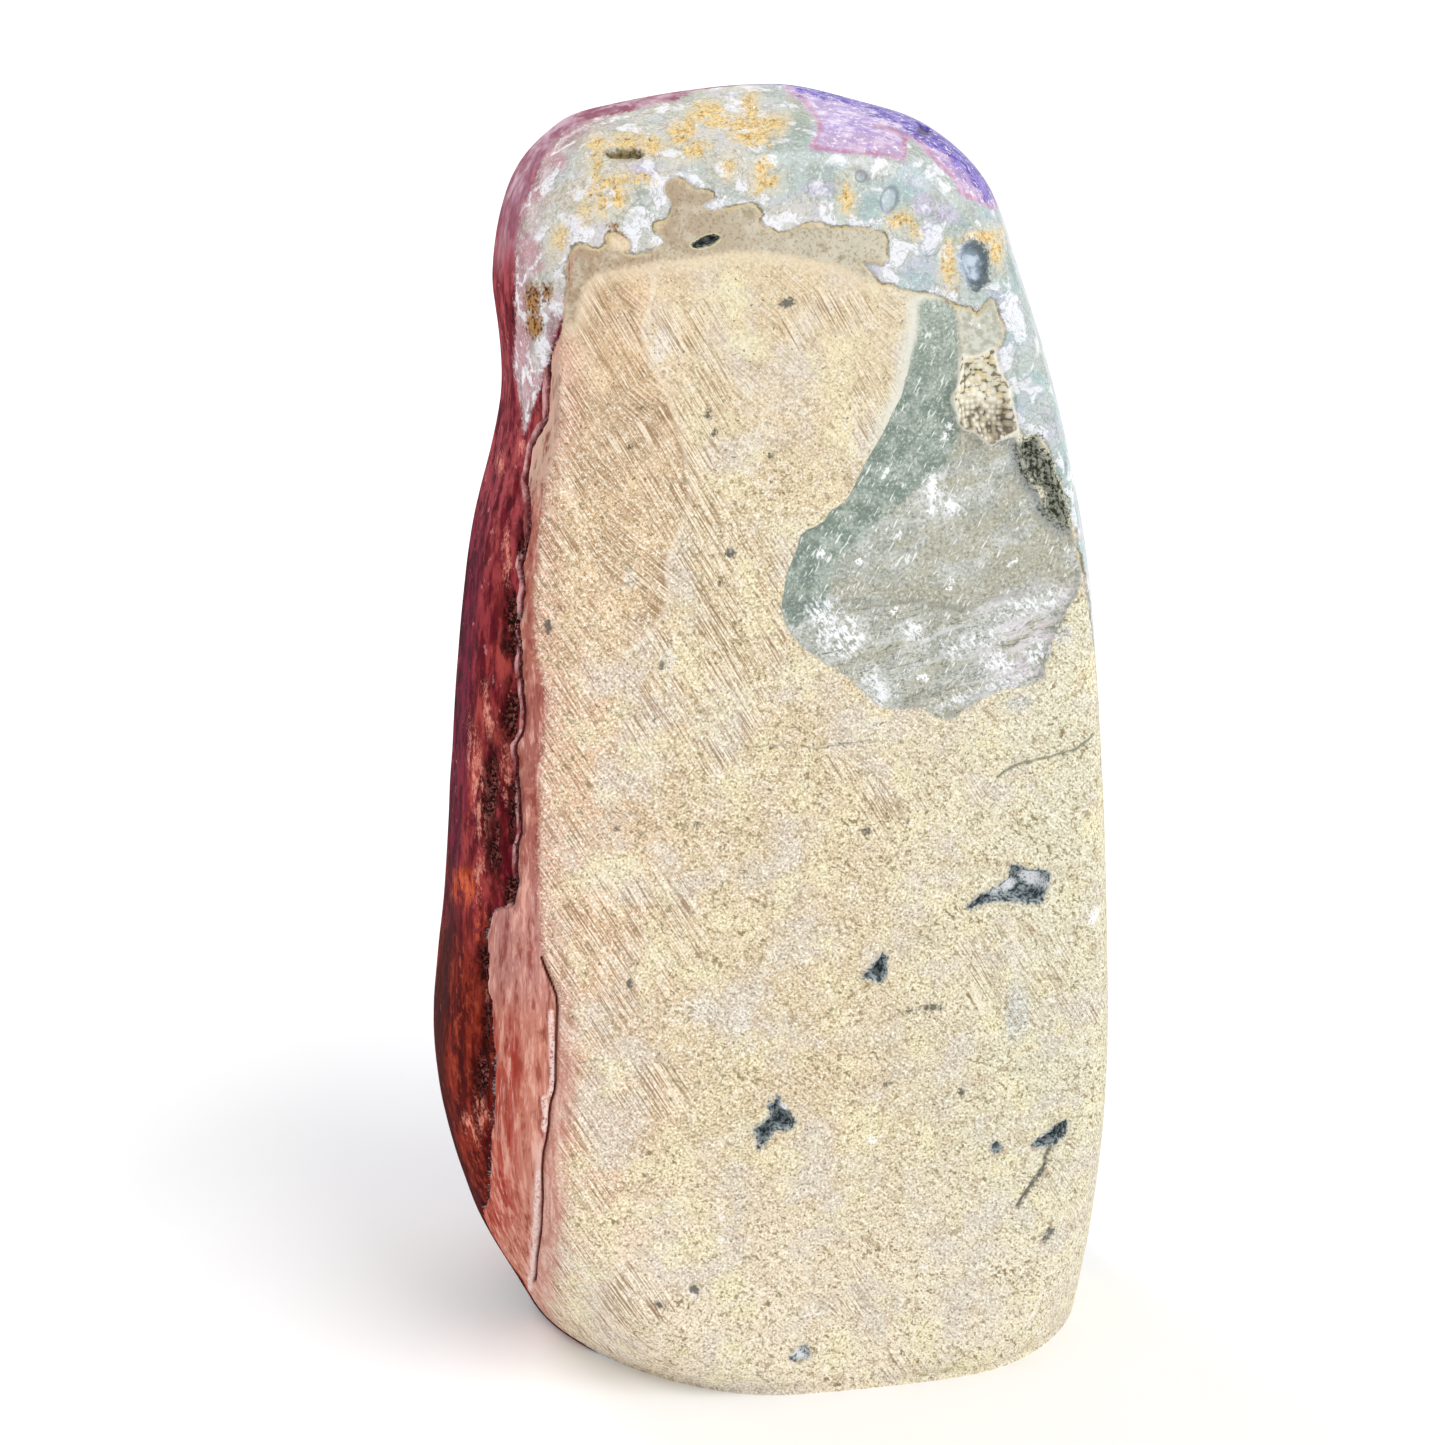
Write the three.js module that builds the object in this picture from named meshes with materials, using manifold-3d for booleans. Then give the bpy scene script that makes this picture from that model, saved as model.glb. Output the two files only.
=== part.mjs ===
// A free-standing piece of an amethyst geode's wall, cut flat at its base so that it stands upright.
// Its broad back (-Y) is ground flat across the basalt matrix, its sides and top are ground round and
// polished, and its front (+Y) is open: a hollow lined with amethyst points. It is one natural solid.
// Millimetres, +Z up. The origin is the middle of the cut base.
import * as THREE from 'three';
import { ConvexGeometry } from 'three/addons/geometries/ConvexGeometry.js';
import { mergeVertices } from 'three/addons/utils/BufferGeometryUtils.js';
import Module from 'manifold-3d';

const wasm = await Module();
wasm.setup();

// ---- driving dimensions ----

// The lump's outline, from the cut base to the top. left, right, back and front are its reach from the
// middle axis at that height; the two corner numbers say how square the back's corners are (2 is round).
const PROFILE = [
  { z: 0, left: -53.5, right: 70, back: -47, front: 35, leftCorner: 1.8, rightCorner: 2.6 },
  { z: 8, left: -57, right: 70.5, back: -51, front: 40, leftCorner: 1.95, rightCorner: 2.6 },
  { z: 28, left: -65.5, right: 71, back: -55, front: 44, leftCorner: 2.2, rightCorner: 2.9 },
  { z: 60, left: -71.5, right: 71, back: -57, front: 45, leftCorner: 2.7, rightCorner: 3.2 },
  { z: 98, left: -67.5, right: 69, back: -56, front: 45, leftCorner: 3, rightCorner: 3.2 },
  { z: 135, left: -64.5, right: 66, back: -54, front: 44, leftCorner: 3, rightCorner: 3.2 },
  { z: 170, left: -60, right: 62, back: -50, front: 42, leftCorner: 3, rightCorner: 3.2 },
  { z: 200, left: -53, right: 55.5, back: -45, front: 39, leftCorner: 3, rightCorner: 3.2 },
  { z: 224, left: -54, right: 48, back: -38, front: 35, leftCorner: 3, rightCorner: 3.2 },
  { z: 241, left: -50.5, right: 42, back: -31, front: 31, leftCorner: 2.8, rightCorner: 3 },
  { z: 251, left: -43, right: 32.5, back: -22, front: 26, leftCorner: 2.5, rightCorner: 2.7 },
  { z: 256, left: -32, right: 21, back: -9, front: 18, leftCorner: 2.2, rightCorner: 2.4 },
  { z: 260, left: -0.5, right: -0.5, back: 5, front: 5, leftCorner: 2, rightCorner: 2 },
];
const FRONT_CORNER = 3; // how square the front's corners are
const AXIS_Y = { low: 8, high: 5, from: 225, over: 35 }; // the middle axis leans back near the top
const STEPS_PER_ROW = 3;
const SIDES = 48;

const GROUND = { y: -45, lean: 4.5, edge: 4 }; // the ground back, its lean in degrees, its edge radius

// The hollow in the front: an uneven, squarish oval bowl, deepest in the middle and narrower at the top.
const HOLLOW = { x: 2, z: 124, halfWidth: 56, halfHeight: 106, taper: 0.08, corner: 2.4 };
const HOLLOW_FLOOR = { middle: 3, rim: 47, steepness: 2.6 }; // its y, and how late it rises to the rim
const HOLLOW_WAVES = [
  { count: 2, size: 0.05, turn: 0.9 },
  { count: 3, size: 0.045, turn: 2.1 },
  { count: 5, size: 0.03, turn: 4.0 },
];
const BOWL_RINGS = 5;
const BOWL_SIDES = 28;
const BOWL_REACH = 1.25; // how far the cutter runs past the rim, in half-widths
const BOWL_OUTSIDE = 90; // the cutter's front cap, clear of the lump

// The amethyst points, packed over the hollow's floor.
const POINTS = { spacing: 16, shift: 0.22, reach: 0.92, root: 7, tilt: 11 };
const POINT_RADIUS = { least: 9.6, most: 13.2, atRim: 0.75 };
const POINT_STEM = { least: 0, most: 3.5 }; // the hexagonal stem that stands clear of the bed
const TIP_SLOPE = 51.8; // of quartz's six tip faces, in degrees
const TIP_OFFSET = { least: 0.08, most: 0.38 }; // how much smaller every second tip face is

// What is let into the ground back: outlines in millimetres across (x) and up the face, and a depth.
const RECESSES = {
  skin: {
    depth: 1.6,
    outline: [[21, 217], [20, 206], [12, 190], [7, 183], [-2, 175], [-4, 167], [0, 158], [8, 151],
      [15, 146], [27, 143], [36, 145], [48, 149], [54, 160], [56, 171], [52, 182], [43, 197], [32, 208],
      [28, 219]],
  },
  pocket: {
    depth: 8,
    outline: [[31, 211], [37, 213], [40, 206], [44, 196], [49, 194], [52, 186], [53, 180], [49, 180],
      [44, 187], [41, 194], [35, 196], [30, 203]],
  },
  rightVug: { depth: 4.5, outline: [[35, 104], [40, 108], [44, 111], [50, 109], [51, 106], [47, 103]] },
  middleVug: { depth: 4, outline: [[11, 90], [14, 92], [16, 95], [17, 93], [16, 89], [13, 89]] },
  starVug: { depth: 4.5, outline: [[-12, 60], [-8, 62], [-6, 66], [-4, 63], [-1, 59], [-5, 58], [-9, 54]] },
  lowRightVug: { depth: 4, outline: [[47, 51], [51, 54], [55, 57], [55, 52], [52, 50]] },
};
const OUTSIDE = 6; // how far each cutter stands out of the ground back

const radians = THREE.MathUtils.degToRad;

// ---- the lump ----

/** A curve through four neighbouring values, at the share t between b and c (Catmull-Rom). */
function through(a, b, c, d, t) {
  return 0.5 * (2 * b + (c - a) * t + (2 * a - 5 * b + 4 * c - d) * t * t + (3 * b - a - 3 * c + d) * t ** 3);
}

/** The profile at a place along it, 0 at the base and PROFILE.length - 1 at the top. */
function profileAt(place) {
  const last = PROFILE.length - 1;
  const i = Math.min(Math.floor(place), last - 1);
  const t = place - i;
  const row = {};
  for (const key of Object.keys(PROFILE[0])) {
    const b = PROFILE[i][key];
    const c = PROFILE[i + 1][key];
    const a = i > 0 ? PROFILE[i - 1][key] : 2 * b - c;
    // Past the top the outline closes over, so the height turns back there.
    const beyond = key === 'z' ? b : 2 * c - b;
    const d = i < last - 1 ? PROFILE[i + 2][key] : beyond;
    row[key] = through(a, b, c, d, t);
  }
  return row;
}

/** The larger of a and b, rounded over where they meet. */
function smoothMax(a, b, radius) {
  const h = THREE.MathUtils.clamp(0.5 + (0.5 * (a - b)) / radius, 0, 1);
  return b * (1 - h) + a * h + radius * h * (1 - h);
}

/** The y of the ground back at a height. */
function groundY(z) {
  return GROUND.y + Math.tan(radians(GROUND.lean)) * z;
}

/** A point of the lump's outside, at a place up the profile and an angle round it. */
function lumpPoint(place, angle) {
  const row = profileAt(place);
  const c = Math.cos(angle);
  const s = Math.sin(angle);
  const middleX = (row.left + row.right) / 2;
  const high = THREE.MathUtils.smoothstep(row.z, AXIS_Y.from, AXIS_Y.from + AXIS_Y.over);
  const middleY = THREE.MathUtils.lerp(AXIS_Y.low, AXIS_Y.high, high);
  const halfWidth = Math.max((row.right - row.left) / 2, 1e-6);
  const halfDepth = Math.max(s < 0 ? middleY - row.back : row.front - middleY, 1e-6);
  const backCorner = c < 0 ? row.leftCorner : row.rightCorner;
  const corner = s < 0 ? backCorner : FRONT_CORNER;
  const reach = (Math.abs(c / halfWidth) ** corner + Math.abs(s / halfDepth) ** corner) ** (-1 / corner);
  const y = smoothMax(middleY + reach * s, groundY(row.z), GROUND.edge);
  return new THREE.Vector3(middleX + reach * c, y, row.z);
}

/** A closed surface from rings of points: a fan closes the first ring, and a point the last. */
function ringSurface(rings, firstMiddle, lastMiddle) {
  const points = [firstMiddle, ...rings.flat(), lastMiddle];
  const sides = rings[0].length;
  const index = [];
  for (let k = 0; k < sides; k += 1) {
    const next = (k + 1) % sides;
    index.push(0, 1 + next, 1 + k);
    for (let r = 0; r < rings.length - 1; r += 1) {
      const low = 1 + r * sides;
      const high = low + sides;
      index.push(low + k, low + next, high + next, low + k, high + next, high + k);
    }
    const top = 1 + (rings.length - 1) * sides;
    index.push(top + k, top + next, points.length - 1);
  }
  const geometry = new THREE.BufferGeometry().setFromPoints(points);
  geometry.setIndex(index);
  return geometry;
}

function lumpGeometry() {
  const rings = [];
  const last = PROFILE.length - 1;
  for (let r = 0; r < last * STEPS_PER_ROW; r += 1) {
    const ring = [];
    for (let k = 0; k < SIDES; k += 1) ring.push(lumpPoint(r / STEPS_PER_ROW, (2 * Math.PI * k) / SIDES));
    rings.push(ring);
  }
  return ringSurface(rings, new THREE.Vector3(0, 0, 0), lumpPoint(last, 0));
}

// ---- the hollow ----

/** How much the bowl's outline stands out or in at an angle round it. */
function outlineWave(angle) {
  return HOLLOW_WAVES.reduce((sum, w) => sum + w.size * Math.sin(w.count * angle + w.turn), 1);
}

/** Half the bowl's width at a height. */
function bowlHalfWidth(z) {
  return HOLLOW.halfWidth - HOLLOW.taper * (z - HOLLOW.z);
}

/** How far across the bowl a place on the front is: 0 in the middle and 1 at its rim. */
function bowlShare(x, z) {
  const across = (x - HOLLOW.x) / bowlHalfWidth(z);
  const up = (z - HOLLOW.z) / HOLLOW.halfHeight;
  const share = (Math.abs(across) ** HOLLOW.corner + Math.abs(up) ** HOLLOW.corner) ** (1 / HOLLOW.corner);
  return share / outlineWave(Math.atan2(up, across));
}

/** The y of the bowl's floor. */
function floorY(share) {
  const { middle, rim, steepness } = HOLLOW_FLOOR;
  return middle + (rim - middle) * share ** steepness;
}

function bowlGeometry() {
  const rings = [];
  for (let r = 1; r <= BOWL_RINGS; r += 1) {
    const share = (BOWL_REACH * r) / BOWL_RINGS;
    const ring = [];
    for (let k = 0; k < BOWL_SIDES; k += 1) {
      const angle = (-2 * Math.PI * k) / BOWL_SIDES;
      const c = Math.cos(angle);
      const s = Math.sin(angle);
      const oval = (Math.abs(c) ** HOLLOW.corner + Math.abs(s) ** HOLLOW.corner) ** (-1 / HOLLOW.corner);
      const reach = share * outlineWave(angle) * oval;
      const z = HOLLOW.z + reach * HOLLOW.halfHeight * s;
      const x = HOLLOW.x + reach * bowlHalfWidth(z) * c;
      ring.push(new THREE.Vector3(x, floorY(share), z));
    }
    rings.push(ring);
  }
  const bottom = new THREE.Vector3(HOLLOW.x, HOLLOW_FLOOR.middle, HOLLOW.z);
  return ringSurface(rings, bottom, new THREE.Vector3(HOLLOW.x, BOWL_OUTSIDE, HOLLOW.z));
}

// ---- the amethyst points ----

/** A repeatable number from 0 to 1 for the point with this number. */
function scatter(number, draw) {
  const wave = Math.sin(number * 12.9898 + draw * 78.233) * 43758.5453;
  return wave - Math.floor(wave);
}

/** The outward direction of the bowl's floor: the way a point grows. */
function growth(x, z) {
  const step = 0.5;
  const slopeX = (floorY(bowlShare(x + step, z)) - floorY(bowlShare(x - step, z))) / (2 * step);
  const slopeZ = (floorY(bowlShare(x, z + step)) - floorY(bowlShare(x, z - step))) / (2 * step);
  return new THREE.Vector3(-slopeX, 1, -slopeZ).normalize();
}

/** The corners of the solid that lies behind every plane. */
function cornersOf(planes) {
  const corners = [];
  for (let i = 0; i < planes.length; i += 1) {
    for (let j = i + 1; j < planes.length; j += 1) {
      for (let k = j + 1; k < planes.length; k += 1) {
        const [a, b, c] = [planes[i], planes[j], planes[k]];
        const turn = a.normal.dot(new THREE.Vector3().crossVectors(b.normal, c.normal));
        if (Math.abs(turn) > 1e-4) {
          const corner = new THREE.Vector3()
            .addScaledVector(new THREE.Vector3().crossVectors(b.normal, c.normal), -a.constant / turn)
            .addScaledVector(new THREE.Vector3().crossVectors(c.normal, a.normal), -b.constant / turn)
            .addScaledVector(new THREE.Vector3().crossVectors(a.normal, b.normal), -c.constant / turn);
          if (planes.every((p) => p.distanceToPoint(corner) < 1e-4)) corners.push(corner);
        }
      }
    }
  }
  return corners;
}

/** A quartz point along +Z: a hexagonal stem with six tip faces, every second one smaller. */
function pointGeometry(radius, stem, offset) {
  const flat = radius * Math.cos(Math.PI / 6);
  const slope = radians(TIP_SLOPE);
  const planes = [new THREE.Plane(new THREE.Vector3(0, 0, -1), -POINTS.root)];
  for (let k = 0; k < 6; k += 1) {
    const angle = (k * Math.PI) / 3;
    const out = new THREE.Vector3(Math.cos(angle), Math.sin(angle), 0);
    planes.push(new THREE.Plane(out, -flat));
    const tip = out.clone().multiplyScalar(Math.sin(slope)).setZ(Math.cos(slope));
    const height = stem + flat * Math.tan(slope) * (1 + (k % 2) * offset);
    planes.push(new THREE.Plane(tip, -height * Math.cos(slope)));
  }
  return new ConvexGeometry(cornersOf(planes));
}

/** Every amethyst point, standing on the bowl's floor. */
function pointGeometries() {
  const points = [];
  const rowStep = POINTS.spacing * Math.sqrt(0.75);
  const rows = Math.ceil(HOLLOW.halfHeight / rowStep);
  const columns = Math.ceil(HOLLOW.halfWidth / POINTS.spacing);
  let number = 0;
  for (let j = -rows; j <= rows; j += 1) {
    for (let i = -columns; i <= columns; i += 1) {
      number += 1;
      const random = (draw) => scatter(number, draw);
      const shiftX = (random(1) - 0.5) * 2 * POINTS.shift * POINTS.spacing;
      const shiftZ = (random(2) - 0.5) * 2 * POINTS.shift * POINTS.spacing;
      const x = HOLLOW.x + (i + (j % 2 === 0 ? 0 : 0.5)) * POINTS.spacing + shiftX;
      const z = HOLLOW.z + j * rowStep + shiftZ;
      const share = bowlShare(x, z);
      if (share < POINTS.reach) {
        const size = THREE.MathUtils.lerp(1, POINT_RADIUS.atRim, share ** 3);
        const radius = size * THREE.MathUtils.lerp(POINT_RADIUS.least, POINT_RADIUS.most, random(3));
        const stem = size * THREE.MathUtils.lerp(POINT_STEM.least, POINT_STEM.most, random(4));
        const offset = THREE.MathUtils.lerp(TIP_OFFSET.least, TIP_OFFSET.most, random(5));
        const tilt = Math.tan(radians(POINTS.tilt));
        const lean = new THREE.Vector3(random(6) - 0.5, 0, random(7) - 0.5).multiplyScalar(2 * tilt);
        const way = growth(x, z).add(lean).normalize();
        const upright = new THREE.Vector3(0, 0, 1);
        const geometry = pointGeometry(radius, stem, offset);
        geometry.rotateZ(random(8) * 2 * Math.PI);
        geometry.applyQuaternion(new THREE.Quaternion().setFromUnitVectors(upright, way));
        geometry.translate(x, floorY(share), z);
        points.push(geometry);
      }
    }
  }
  return points;
}

// ---- what is let into the ground back ----

/** A cutter with this outline on the ground back, running from outside it to the depth. */
function recessGeometry({ outline, depth }) {
  const lean = radians(GROUND.lean);
  // The shape's y runs up the face, and its z runs out of it.
  const shape = new THREE.Shape(outline.map(([x, z]) => new THREE.Vector2(-x, z / Math.cos(lean))));
  const geometry = new THREE.ExtrudeGeometry(shape, { depth: depth + OUTSIDE, bevelEnabled: false });
  geometry.translate(0, 0, -depth);
  geometry.rotateY(Math.PI);
  geometry.rotateX(Math.PI / 2 - lean);
  geometry.translate(0, GROUND.y, 0);
  return geometry;
}

// ---- joining and cutting ----

function solid(geometry) {
  const bare = geometry.clone();
  bare.deleteAttribute('normal');
  bare.deleteAttribute('uv');
  const merged = mergeVertices(bare, 1e-4);
  return new wasm.Manifold(new wasm.Mesh({
    numProp: 3,
    vertProperties: new Float32Array(merged.attributes.position.array),
    triVerts: new Uint32Array(merged.index.array),
  }));
}

function geometryOf(shape) {
  const mesh = shape.getMesh();
  const geometry = new THREE.BufferGeometry();
  geometry.setAttribute('position', new THREE.BufferAttribute(mesh.vertProperties, 3));
  geometry.setIndex(new THREE.BufferAttribute(mesh.triVerts, 1));
  geometry.computeVertexNormals();
  return geometry;
}

/** The shape with the small pockets sealed inside it filled: its outer skin alone. */
function filled(shape) {
  return shape.decompose().reduce((most, skin) => (skin.volume() > most.volume() ? skin : most));
}

/** The whole piece: the hollowed lump with its recesses, grown together with the points inside it. */
function geode() {
  const lump = solid(lumpGeometry());
  let rock = lump.subtract(solid(bowlGeometry()));
  for (const recess of Object.values(RECESSES)) rock = rock.subtract(solid(recessGeometry(recess)));
  let points = null;
  for (const geometry of pointGeometries()) {
    const point = solid(geometry);
    points = points === null ? point : points.add(point);
  }
  return geometryOf(filled(rock.add(points.intersect(lump))));
}

const amethystGeode = new THREE.Mesh(
  geode(),
  new THREE.MeshStandardMaterial({ color: 0xcdbb93, roughness: 0.75, metalness: 0 }),
);
amethystGeode.name = 'amethyst_geode';

const part = new THREE.Group();
part.add(amethystGeode);

export default part;
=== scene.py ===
"""The looks of a free-standing piece of an amethyst geode's wall, seen from its ground back.

Lengths are in millimetres until a mesh is made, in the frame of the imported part: +Z up, -Y out of the
ground back, +Y out of the hollow with the amethyst points. Outlines of markings are given in pixels of
the photograph's 1445 x 1445 frame, and are laid on the stone through the camera that the scene uses.
"""

import math

import bmesh
import bpy
import numpy as np
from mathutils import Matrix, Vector


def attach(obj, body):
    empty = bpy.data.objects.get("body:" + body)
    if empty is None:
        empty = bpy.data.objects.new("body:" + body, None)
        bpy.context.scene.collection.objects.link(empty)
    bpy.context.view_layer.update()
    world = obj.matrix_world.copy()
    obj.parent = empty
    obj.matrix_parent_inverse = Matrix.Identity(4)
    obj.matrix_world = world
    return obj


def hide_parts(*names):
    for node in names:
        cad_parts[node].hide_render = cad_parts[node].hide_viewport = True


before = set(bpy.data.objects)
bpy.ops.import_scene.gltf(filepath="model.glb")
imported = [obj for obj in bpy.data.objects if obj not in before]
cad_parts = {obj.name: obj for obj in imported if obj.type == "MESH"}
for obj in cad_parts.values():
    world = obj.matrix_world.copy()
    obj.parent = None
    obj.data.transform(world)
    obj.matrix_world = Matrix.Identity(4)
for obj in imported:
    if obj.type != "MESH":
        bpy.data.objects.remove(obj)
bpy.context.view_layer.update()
MM = 0.001

# ---- the camera ----

PHOTO_SIZE = 1445
CAMERA_TARGET = (-11, -6, 134.5)
CAMERA_DISTANCE = 482
CAMERA_AZIMUTH = -10
CAMERA_ELEVATION = 18
CAMERA_VIEW_ANGLE = 34
PHOTO_MM = 0.2  # what one pixel of the photograph spans on the stone

# ---- the lump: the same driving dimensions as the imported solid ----

# height, then the reach left, right, back and front, then the squareness of the two back corners
PROFILE = (
    (0, -53.5, 70, -47, 35, 1.8, 2.6),
    (8, -57, 70.5, -51, 40, 1.95, 2.6),
    (28, -65.5, 71, -55, 44, 2.2, 2.9),
    (60, -71.5, 71, -57, 45, 2.7, 3.2),
    (98, -67.5, 69, -56, 45, 3, 3.2),
    (135, -64.5, 66, -54, 44, 3, 3.2),
    (170, -60, 62, -50, 42, 3, 3.2),
    (200, -53, 55.5, -45, 39, 3, 3.2),
    (224, -54, 48, -38, 35, 3, 3.2),
    (241, -50.5, 42, -31, 31, 2.8, 3),
    (251, -43, 32.5, -22, 26, 2.5, 2.7),
    (256, -32, 21, -9, 18, 2.2, 2.4),
    (260, -0.5, -0.5, 5, 5, 2, 2),
)
FRONT_CORNER = 3
AXIS_Y_LOW, AXIS_Y_HIGH = 8, 5
AXIS_FROM, AXIS_OVER = 225, 35
GROUND_Y, GROUND_LEAN, GROUND_EDGE = -45, 4.5, 4
HOLLOW_X, HOLLOW_Z, HOLLOW_HALF_WIDTH, HOLLOW_HALF_HEIGHT = 2, 124, 56, 106
HOLLOW_TAPER, HOLLOW_CORNER = 0.08, 2.4
HOLLOW_MIDDLE, HOLLOW_RIM, HOLLOW_STEEPNESS = 3, 47, 2.6
HOLLOW_WAVES = ((2, 0.05, 0.9), (3, 0.045, 2.1), (5, 0.03, 4.0))  # count, size, turn
HOLLOW_LIP = 2.5  # how far its edge is rounded over

# ---- outlines on the photograph, in pixels ----

# Where the ground matrix ends and the agate and quartz begin: up the left side, over the top, down the right.
MAROON_EDGE = (
    (482, 1216), (486, 1188), (488, 1148), (491, 1096), (491, 1057), (489, 1018), (486, 992), (482, 952),
    (486, 912),
)
AGATE_RIDGE = (
    (509, 907), (517, 883), (516, 867), (517, 847), (523, 833), (520, 814), (520, 798), (518, 788),
    (516, 768), (515, 746), (523, 731), (524, 709), (521, 689), (519, 669), (519, 646), (514, 624),
    (520, 609), (521, 600), (523, 586), (519, 567), (524, 541), (526, 529), (528, 511), (527, 499),
    (524, 483), (527, 462), (530, 445), (538, 428), (545, 419), (546, 405), (545, 393), (547, 371),
    (549, 355), (556, 342), (561, 328), (564, 307), (567, 293), (567, 280), (565, 270),
)
QUARTZ_EDGE = (
    (568, 258), (571, 250), (577, 244), (586, 244), (594, 250), (601, 250), (609, 245), (606, 235),
    (614, 232), (622, 235), (629, 241), (630, 249), (623, 252), (632, 256), (647, 253), (659, 248),
    (667, 242), (660, 236), (652, 229), (655, 223), (662, 224), (669, 220), (674, 208), (670, 198),
    (664, 188), (669, 179), (678, 177), (687, 180), (693, 189), (707, 189), (714, 195), (712, 201),
    (701, 204), (703, 210), (713, 213), (728, 209), (745, 204), (755, 204), (762, 213), (759, 223),
    (768, 228), (781, 232), (795, 230), (804, 224), (822, 223), (829, 228), (865, 228), (883, 233),
    (888, 239), (885, 248), (888, 257), (887, 264), (872, 262), (861, 262), (865, 267), (876, 277),
    (881, 285), (892, 286), (910, 291), (928, 295), (942, 298), (956, 306), (972, 308), (979, 316),
    (985, 307), (990, 299), (997, 302), (999, 314), (1006, 332), (1003, 343), (997, 352), (998, 361),
    (1003, 371), (1007, 379), (1012, 391), (1015, 405), (1018, 417), (1021, 430), (1026, 437), (1040, 436),
    (1048, 444), (1057, 470), (1066, 494), (1074, 521), (1080, 548), (1085, 580), (1092, 615), (1099, 660),
    (1101, 700),
)
OUTSIDE_PHOTO = ((1140, 700), (1140, 40), (400, 40), (400, 1216))
BEYOND_MATRIX = MAROON_EDGE + AGATE_RIDGE + QUARTZ_EDGE + OUTSIDE_PHOTO
POLISHED_RIDGE = AGATE_RIDGE[:33]  # as far as the ridge is a sharp step
# Everything left of the agate's ridge and the upper left rim is polished amethyst.
LEFT_SIDE = MAROON_EDGE + AGATE_RIDGE[:36] + (
    (520, 440), (518, 420), (516, 398), (510, 371), (512, 345), (513, 318), (511, 285), (513, 255),
    (515, 228), (522, 200), (534, 172), (544, 150), (556, 136), (573, 126), (590, 118), (618, 112),
    (656, 103), (675, 98), (690, 93), (722, 60), (400, 60), (400, 1216),
)
# Where the ground face turns over into the left side: (y, x).
GROUND_LEFT = (
    (250, 575), (300, 567), (330, 561), (362, 559), (420, 559), (441, 556), (459, 551), (479, 545),
    (504, 543), (526, 538), (560, 537), (602, 534), (640, 534), (679, 543), (709, 547), (739, 543),
    (778, 539), (808, 541), (867, 539), (930, 541), (960, 545), (1000, 557), (1060, 557), (1106, 551),
    (1160, 543), (1210, 541), (1253, 536), (1295, 530),
)

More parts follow.
